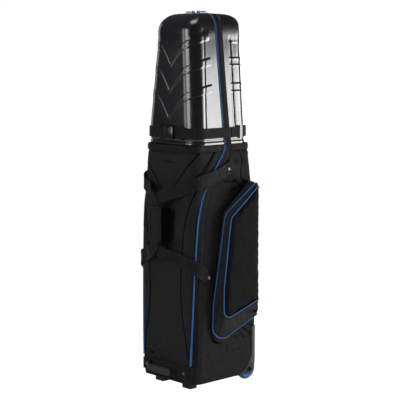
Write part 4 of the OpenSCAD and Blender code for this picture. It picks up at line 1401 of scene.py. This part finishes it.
def make_buckle():
    female = plates("buckle_socket", [
        (FEMALE_OUTLINE, -7, -3.4), (FEMALE_OUTLINE, 2.4, 4.9),
        ([(-40, -19), (-29, -19), (-29, 19), (-40, 19)], -4, 0.2),
        ([(-27, -24), (0, -24), (0, -21.2), (-27, -21.2)], -4, 3),
        ([(-27, 21.2), (0, 21.2), (0, 24), (-27, 24)], -4, 3),
        (RELEASE_OUTLINE, -7.7, -6.5),
    ], 1.0, BUCKLE, curved_front)
    settle(female, "strap_left_half", "moulded", "buckle_female")
    male = plates("buckle_plug_prongs", [
        (MALE_OUTLINE, -7, -0.9), ([(0.7, -24), (3.2, -24), (3.2, 24), (0.7, 24)], -0.9, 4.9),
        ([(0.7, 20.4), (33, 20.4), (30, 24), (4, 25), (0.7, 24)], -1.4, 4.9),
        ([(0.7, -24), (4, -25), (30, -24), (33, -20.4), (0.7, -20.4)], -1.4, 4.9), *PRONGS, (GUIDE_OUTLINE, -2, 1.2),
        ([(8, -17), (12, -18), (12, 18), (8, 17)], -7.8, -6.6),
        ([(17, -18), (21, -18), (21, 18), (17, 18)], -7.8, -6.6),
    ], 1.0, BUCKLE, curved_front)
    settle(male, "buckle_plug", "moulded", "buckle_male")
    slide = blocks("strap_slide_bars", [
        (-4, 4, -3.2, 3.2, 19.6, 23), (-4, 4, -3.2, 3.2, -23, -19.6), (-4, -1.6, -3.2, -1.2, -20, 20),
        (1.6, 4, -3.2, -1.2, -20, 20), (-1.4, 1.4, 1.4, 3.2, -20, 20),
    ], 0.7, BUCKLE, lambda x, y, z: (72 + x, -SHELL_FRONT - 4.4 + y, STRAP_Z + z))
    settle(slide, "strap_right_half", "moulded", "strap_slide")
    for piece, side in ((female, -1), (male, 1), (slide, 1)):
        beside_door(piece)


# ---------------------------------------------------------------- carry loops, wrap and grab handle

WRAP_Y = -206.0
LOOP_W, LOOP_T = 46.0, 3.0
LOOP_FOLD = 30.0


def loop_route(side):
    """Points of a loop on the right-hand side, each with the direction across the webbing."""
    y, turn = WRAP_Y + side * 1.8, WRAP_Y + side * 2.8
    low_y, tail = (-90, 16) if side > 0 else (-106.5, 6)
    return [
        (139.4, 40, 789, 0, -0.4, 0.9), (138, 15, 775, 0, -0.38, 0.92), (142.4, -51, 752, 0, -0.3, 0.95),
        (142.6, -98, 742, -0.05, -0.25, 0.96), (139.8, -121.5, 736, -0.07, -0.27, 0.96),
        (131, -141, 729, -0.17, -0.22, 0.96), (114.5, -155.8, 721, -0.22, -0.12, 0.96),
        (95, -163, 713, -0.28, -0.06, 0.95), (68, -175, 703, -0.4, 0, 0.92), (40, turn + 7, 691, -0.55, 0, 0.83),
        (15, turn, 678, -0.85, 0, 0.53), (0, y, 656, -1, 0, 0), (0, y, 519, -1, 0, 0),
        (15, turn, 497, -0.85, 0, -0.53), (42, turn + 8, 483, -0.5, 0, -0.86), (76, -175, 471, -0.3, 0, -0.95),
        (100, -167, 463, -0.25, 0, -0.96), (119.5, -163.8, 456, -0.24, -0.08, -0.96),
        (137.4, -152.6, 446, -0.25, -0.25, -0.94), (147.6, -136.6, 435, -0.22, -0.52, -0.82),
        (149.2, -120, 421, 0, -0.55, -0.83), (146.8, low_y, 403, 0, -0.42, -0.91),
        (146.8, low_y + tail, 403 - tail * 0.5, 0, -0.4, -0.92),
    ]


def box_stitches(centre, run, across, normal, half_run, half_across):
    """A square of stitches with a cross in it, as sewn round a rivet."""
    corners = [centre + run * a * half_run + across * b * half_across for a, b in
               ((-1, -1), (1, -1), (1, 1), (-1, 1), (-1, -1))]
    rows = []
    for a, b in list(zip(corners[:-1], corners[1:])) + [(corners[0], corners[2]), (corners[1], corners[3])]:
        path = np.linspace(a, b, 8)
        rows.append((path, np.tile(normal, (8, 1))))
    return rows


def make_carry_loop(side, name):
    route = through(loop_route(side), 190)
    route[:, 0] *= side
    route[:, 3] *= side
    path, across = route[:, :3], route[:, 3:]
    body = "carry_loop_" + name
    inside = (path[:, 2] > 500) & (path[:, 2] < 672) & (np.abs(path[:, 0]) < 30)
    narrow = LOOP_W - 5.0 * np.convolve(inside, np.ones(13) / 13, mode="same")
    rivet = np.array([side * 146.6, -90.0 if side > 0 else -106.5, 403.0])
    outward = np.array([0, -0.9627, 0.2705] if side > 0 else [0, -0.9506, 0.3105])
    past = np.nonzero((path - rivet) @ outward > LOOP_FOLD + 12)[0]
    first, last = past[0], past[-1]
    moving = slice(first, last + 1)
    loop = ribbon(path[moving], across[moving], narrow[moving], LOOP_T, "carry_loop_webbing_" + name, WEB)
    settle(loop, body, "webbing", "loop_" + name)
    crease = (rivet - outward * 2, rivet + outward * LOOP_FOLD)
    for part, which in ((slice(0, first + 1), "upper"), (slice(last, None), "lower")):
        tab = ribbon(path[part], across[part], LOOP_W, LOOP_T, f"carry_loop_tab_{which}_{name}", WEB)
        fold(tab, body, "webbing", *crease)
    run, w, normal = frame_of(path, across)
    centre = np.array([0, 0, 600.0])
    if np.mean(np.sum(normal * (path - centre) * (1, 1, 0), axis=1)) < 0:
        normal = -normal
    rows, tab_rows = [], []
    for share in (-0.4, -0.33, 0.33, 0.4):
        line = path + w * narrow[:, None] * share + normal * (LOOP_T / 2 + 0.05)
        rows.append((line[moving], normal[moving]))
        tab_rows += [(line[6:first + 1], normal[6:first + 1]), (line[last:-6], normal[last:-6])]
    for i in (12, -9):
        tab_rows += box_stitches(path[i] + normal[i] * (LOOP_T / 2 + 0.1), run[i], w[i], normal[i], 11, 14)
    seams = stitching("stitching_carry_loop_" + name, rows, body)
    fold(stitching("stitching_carry_loop_tabs_" + name, tab_rows), body, "webbing", *crease)
    for piece in (loop, seams):
        beside_door(piece)


WRAP_LOW, WRAP_HIGH = low("handle_wrap", "z"), high("handle_wrap", "z")
WRAP_HALF, WRAP_THICK = 33.5, 23.0


def wrap_relief(x, y, z, normals):
    """Sewn ends, the lap of the wrap's closure down its front, and soft creases."""
    ends = -1.8 * (ridge(z - WRAP_LOW - 12, 0.9, 2.6) + ridge(z - WRAP_HIGH + 12, 0.9, 2.6))
    front = np.clip(-normals[:, 1], 0, 1)
    lap = 1.5 * ramp(x, -8, 1.5) * (1 - ramp(x, 20, 12)) * front
    return ends + lap + ripple(x, y, z, 60, 1.0, 0.6) + ripple(x, y, z, 23, 0.35, 1.9)


def make_wrap():
    rings = []
    for z in np.linspace(WRAP_LOW + 3, WRAP_HIGH - 3, 26):
        end = min(z - WRAP_LOW, WRAP_HIGH - z)
        pinch = 1 - 0.10 * math.exp(-end / 9)
        ring = []
        for k in range(64):
            a = 2 * math.pi * k / 64
            ring.append((WRAP_HALF * pinch * np.sign(math.cos(a)) * abs(math.cos(a)) ** 0.75,
                         WRAP_Y + WRAP_THICK / 2 * pinch * np.sign(math.sin(a)) * abs(math.sin(a)) ** 0.8, z))
        rings.append(ring)
    wrap = make("handle_wrap_pad", np.concatenate(rings), loft_faces(len(rings), len(ring)), FABRIC)
    swell(wrap, 4.0, 3.5, 4.0, wrap_relief)
    settle(wrap, "carry_loop_right", "body_fabric", "handle_wrap")
    beside_door(wrap)
    edge = []
    for z in np.linspace(WRAP_LOW + 16, WRAP_HIGH - 16, 22):
        edge.append((-8.5, WRAP_Y - 15.2 - 0.5 * math.sin(z / 17), z))
    binding = ribbon(edge, np.tile((1.0, 0.0, 0.0), (22, 1)), 5.0, 1.6, "handle_wrap_binding", WEB)
    settle(binding, "carry_loop_right", "webbing")
    beside_door(binding)


def make_wrap_lap():
    """The wrap's loose inner lap, hook cloth that hangs back beside the handle, drawn near black as painted shadow in
    the gap there.
    """
    rows = []
    for z in np.linspace(WRAP_LOW + 5, WRAP_HIGH - 6, 40):
        row = []
        for t in np.linspace(0, 1, 12):
            wave_out = 1.4 * math.sin(z / 9.0 + 2 * t) * t + 1.8 * math.sin(z / 31.0) * t
            row.append((30 + 20 * t + wave_out * 0.6, WRAP_Y + 5 + 25 * t + wave_out, z + 2.5 * t * math.sin(z / 13)))
        rows.append(row)
    lap = thick_sheet("handle_wrap_lap", np.array(rows), 1.6, PAINTED_SHADE_CLOTH, np.array(rows)[..., 1:3])
    settle(lap, "carry_loop_right", "body_fabric")
    beside_door(lap)


GRAB_Z = (low("grab_grip", "z") + high("grab_grip", "z")) / 2
GRAB_OUT = (low("grab_grip", "y") + high("grab_grip", "y")) / 2
GRAB_HALF = high("grab_grip", "x")


def grip_ring(x):
    """Cross-section of the grip: round-cornered, with ridges running along its outer face."""
    end = min(GRAB_HALF - abs(x), 6.0) / 6.0
    size = 1 - 0.16 * (1 - end) ** 2
    ring = []
    for k in range(96):
        a = 2 * math.pi * k / 96
        c, s = math.cos(a), math.sin(a)
        y = 8.6 * np.sign(c) * abs(c) ** 0.55
        z = 12.6 * np.sign(s) * abs(s) ** 0.55
        if c < 0 and abs(z) < 11 and end > 0.6:
            y += 3.2 * (0.5 - 0.5 * math.cos(2 * math.pi * z / 7.3)) ** 2
        ring.append((x, GRAB_OUT + y * size, GRAB_Z + z * size))
    return ring


def make_grab_handle():
    steps = np.concatenate([np.linspace(-GRAB_HALF, -GRAB_HALF + 7, 6),
                            np.linspace(-GRAB_HALF + 9, GRAB_HALF - 9, 30),
                            np.linspace(GRAB_HALF - 7, GRAB_HALF, 6)])
    rings = [grip_ring(x) for x in steps]
    grip = make("grab_grip_ribbed", np.concatenate(rings), loft_faces(len(rings), len(rings[0])), GRIP)
    settle(grip, "grab_handle", "grip", "grab_grip")
    half = [(122, -157.8, 40), (108, -161.8, 40), (84, -162, 38), (70, -172, 27), (60, GRAB_OUT + 2, 20),
            (48, GRAB_OUT, 19)]
    points = [(-x, y, GRAB_Z, w) for x, y, w in half] + [(x, y, GRAB_Z, w) for x, y, w in half[::-1]]
    route = through(points, 90)
    web = ribbon(route[:, :3], np.tile((0.0, 0.0, 1.0), (90, 1)), route[:, 3], 3, "grab_handle_webbing", WEB)
    fold(web, "grab_handle", "webbing", (0, -163.4, GRAB_Z), (0, -180, GRAB_Z))
    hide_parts("grab_webbing")
    rows = []
    for sign in (-1, 1):
        centre = np.array([sign * 100.0, -163.6, GRAB_Z])
        rows += box_stitches(centre, np.array([1.0, 0, 0]), np.array([0, 0, 1.0]), np.array([0, -1.0, 0]), 14, 15)
    stitching("stitching_grab_handle", rows, "case_back")


# ---------------------------------------------------------------- zip sliders and pulls

SLIDER_WING = [(-5, -7), (-3, -8), (3, -8), (5, -7), (5.5, 2), (3.5, 7), (0.8, 8), (-0.8, 8), (-3.5, 7), (-5.5, 2)]
SLIDER_BRIDGE = [(-1.4, -5), (1.4, -5), (1.4, 5), (-1.4, 5)]
WING, BRIDGE = ([(x * 0.85, z * 0.85) for x, z in shape] for shape in (SLIDER_WING, SLIDER_BRIDGE))


def oblong(half_x, z0, z1, y0, y1):
    """A rectangular plate's outline and its two faces."""
    return [(-half_x, z0), (half_x, z0), (half_x, z1), (-half_x, z1)], y0, y1


def mirrored_tab(half):
    """A pull's outline from the points down its right-hand side."""
    return half + [(-x, z) for x, z in half[::-1]]


def make_slider(zipper, side_name, place, body_layers, pull_layers):
    """A slider and its pull, each riding on its own body. Plates are x across, y out and z along the zip."""
    for part, shape, layers, width in (("slider", "slider_body", body_layers, 0.5),
                                       ("pull", "pull_tab", pull_layers, 0.4)):
        piece = plates(f"{zipper}_zip_{shape}_{side_name}", layers, width, GUNMETAL, place)
        settle(piece, f"{zipper}_zip_{part}_{side_name}", "steel", f"{zipper}_{part}_{side_name}")


def make_sliders():
    crown_y = float(zip_y(CROWN)) + 16.0
    low_y, low_z = 88.0, 271.0
    for side, name in ((1, "right"), (-1, "left")):
        crown_x = -20 + side * 13
        gusset_x = (seam_x(side, low_y) + face_x(side, low_y) - FLAP_T) / 2 + 10.4
        make_slider("main", name, lambda a, b, c: (crown_x + side * c, crown_y + a, CROWN + b), [
            (WING, 0.9, 3.0), (WING, 3.6, 5.6), oblong(1.9, -6, -3, 5, 9.6), oblong(1.9, 3, 6, 5, 9.6),
            (BRIDGE, 9.0, 11.4),
        ], [
            (mirrored_tab([(2.2, 7.4), (3.2, 12), (4, 30), (3.2, 36), (1.5, 38)]), 5.4, 8.8),
            ([(-2.4, 18), (2.4, 18), (2.6, 33), (-2.6, 33)], 5.0, 9.3),
        ])
        make_slider("pocket", name, lambda a, b, c: tuple(pocket_point(side, gusset_x + c, low_y + a, low_z - b)), [
            (WING, 5.4, 7.8), (WING, 3.0, 4.9), oblong(1.6, -5.5, -3, -0.5, 3.2), oblong(1.6, 3, 5, -0.5, 3.2),
            (BRIDGE, -0.6, 0.9),
        ], [
            (mirrored_tab([(1.8, -6.8), (2.6, -11), (3.4, -28), (2.6, -32.5), (1.2, -34)])[::-1], -1.1, 0.7),
            ([(-2, -30), (2, -30), (1.8, -16), (-1.8, -16)], -1.6, 1.2),
        ])


# ---------------------------------------------------------------- inside

CHANNEL_PITCH = 95.0


def quilted(x, y, z, normals):
    """Sewn channels across a padding, every so far up."""
    channel = ridge(np.abs(((z - 60) % CHANNEL_PITCH) - CHANNEL_PITCH / 2) - CHANNEL_PITCH / 2, 1.0, 5.0)
    return -2.6 * channel * np.clip(np.abs(normals[:, 1]) + np.abs(normals[:, 0]), 0, 1)


def inset(sec, amount):
    """A section drawn in by some millimetres all round."""
    return [v - amount if i < 3 else max(v - amount, 6) for i, v in enumerate(sec)]


def make_paddings():
    rows = []
    for z in np.linspace(116, 806, 60):
        sec = inset(section(BODY_SECTIONS, z), 8.2)
        edge = min(reach(sec, float(zip_edge(z, -18.0))), lengths(sec)[1] + 26) if z > 575 else lengths(sec)[0] + 8
        rows.append((z, sec, -edge, edge))
    pad = swell(thick_sheet("door_padding_quilt", wall_grid(rows, 61)[0], 3.6, LINING), 4.5, 2.0, 3.0, quilted)
    settle(pad, "front_door", "lining", "door_padding")

    rows = []
    for z in np.linspace(58, 806, 70):
        sec = inset(section(BODY_SECTIONS, z), 11.2)
        middle = lengths(sec)[4]
        rows.append((z, sec, middle - 84, middle + 84))
    pad = swell(thick_sheet("back_padding_quilt", wall_grid(rows, 41)[0], 4.5, LINING), 4.5, 2.5, 3.0, quilted)
    settle(pad, "case_back", "lining", "back_padding")

    z0, z1 = low("base_padding", "z") + 2.0, high("base_padding", "z") - 2.5
    half, front, back = high("base_padding", "x") - 3, -low("base_padding", "y") - 3, high("base_padding", "y") - 3
    pad = blocks("base_padding_mat", [(-half, half, -front, back, z0, z1)], 3.0, LINING)

    def tufts(x, y, z, normals):
        lines = ridge(np.abs((y % 62) - 31) - 31, 1, 5)
        return -1.6 * lines * np.clip(normals[:, 2], 0, 1)

    swell(pad, 5.0, 2.0, 3.0, tufts)
    settle(pad, "case_back", "lining", "base_padding")


def make_inner_straps():
    low_z = [(low("inner_straps", "z") + 19, BODY_DEEP - 18), (high("inner_straps", "z") - 19, BODY_DEEP - 23)]
    for number, (z, y) in enumerate(low_z):
        x = np.linspace(-128, 128, 60)
        sag = 0.8 * np.sin(x / 33 + number)
        path = np.stack([x, np.full(60, y - 1.0) - 0.3 * np.abs(sag), z + sag], axis=1)
        strap = ribbon(path, np.tile((0.0, 0.0, 1.0), (60, 1)), 37, 1.9, f"inner_strap_{number + 1}_webbing", WEB)
        settle(strap, "case_back", "webbing", *(["inner_straps"] if number == 0 else []))

        def place(a, b, c, z=z, y=y):
            return (a * 0.9 + 1, y - 7.5 + b * 0.85, z + c * 0.94)

        buckle = plates(f"inner_buckle_{number + 1}_moulding", [
            (FEMALE_OUTLINE, -6, -3), (FEMALE_OUTLINE, 2.2, 4.9), (MALE_OUTLINE, -6, 4.9),
            *PRONGS, (RELEASE_OUTLINE, -6.7, -5.5),
        ], 0.9, BUCKLE, place)
        settle(buckle, "case_back", "moulded", *(["inner_buckles"] if number == 0 else []))


# ---------------------------------------------------------------- carried-over CAD pieces

def finish_node(node, material, bevel):
    """Gives a CAD piece its material, and rounds its edges a little for the light to catch."""
    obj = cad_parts[node]
    obj.material_slots[0].material = material
    if bevel:
        edge = obj.modifiers.new("edges", "BEVEL")
        edge.width = bevel * MM
        edge.segments = 2
        edge.limit_method = "ANGLE"
        edge.angle_limit = math.radians(40)
        edge.harden_normals = True


def finish_nodes():
    for material, bevel, nodes in (
            (MOULDED, 0.8, ("base_board", "kick_plate", "feet", "wheel_housing_right", "wheel_housing_left")),
            (BUCKLE, 0.7, ("strap_keepers",)),
            (MOULDED, 0.0, ("back_board",)),
            (STEEL, 0.25, ("base_screws", "handle_rivets", "grab_rivets", "bearings_right", "bearings_left")),
            (GUNMETAL, 0.25, ("axles",)),
            (TYRE, 0.0, ("tyre_right", "tyre_left")),
            (HUB, 0.5, ("hub_right", "hub_left"))):
        for node in nodes:
            finish_node(node, material, bevel)


def make_side_slit():
    """The bound slit low on the right side, a little behind the middle, as a near-black block that paints the slit's
    shaded opening.
    """
    slit = blocks("side_slit_binding", [(BODY_HALF - 0.6, BODY_HALF + 0.9, 2.6, 6.4, 124, 151)], 0.6, PAINTED_SHADE_CLOTH)
    settle(slit, "case_back", "body_fabric")


def make_wall_stitching():
    """Rows of stitches beside the front hem and the yoke's band."""
    rows = []
    for height in (HEM_LOW + 3.2, HEM_HIGH - 3.2):
        sec = hem_section(height)
        edge = reach(sec, float(zip_edge(height, -4.0)))
        s = np.linspace(-edge, edge, 120)
        x, y, nx, ny = around(sec, s)
        normals = np.stack([nx, ny, np.zeros(len(s))], axis=1)
        rows.append((np.stack([x, y, np.full(len(s), height)], axis=1) + normals * 0.1, normals))
    stitching("stitching_front_hem", rows, "front_door")
    rows = []
    for sign in (-1, 1):
        for aside in (3.4, -YOKE_BAND + 3.4, -YOKE_BAND - 3.4):
            t = np.linspace(0.05 if aside > 0 else 0.3, 0.93, 60)
            s = YOKE_LOW[0] + YOKE_DX * t - YOKE_DZ / YOKE_LENGTH * aside
            z = YOKE_LOW[1] + YOKE_DZ * t + YOKE_DX / YOKE_LENGTH * aside
            path, normals = [], []
            for a, b in zip(s, z):
                sec = section(BODY_SECTIONS, b)
                px, py, nx, ny = (float(v) for v in around(sec, sign * a))
                lift = float(front_panel_relief(*np.array([[px], [py], [b], [sign * a]]))[0])
                path.append((px + nx * (lift + 0.1), py + ny * (lift + 0.1), b))
                normals.append((nx, ny, 0))
            rows.append((path, normals))
    stitching("stitching_yoke", rows, "front_door", "body_fabric")


make_shells()
make_fabric_walls()
make_hems()
make_zip()
for pocket_side, pocket_name in ((1, "right"), (-1, "left")):
    make_pocket(pocket_side, pocket_name)
    make_carry_loop(pocket_side, pocket_name)
make_shell_strap()
make_buckle()
make_wrap()
make_wrap_lap()
make_grab_handle()
make_sliders()
make_paddings()
make_inner_straps()
make_wall_stitching()
make_side_slit()
finish_nodes()
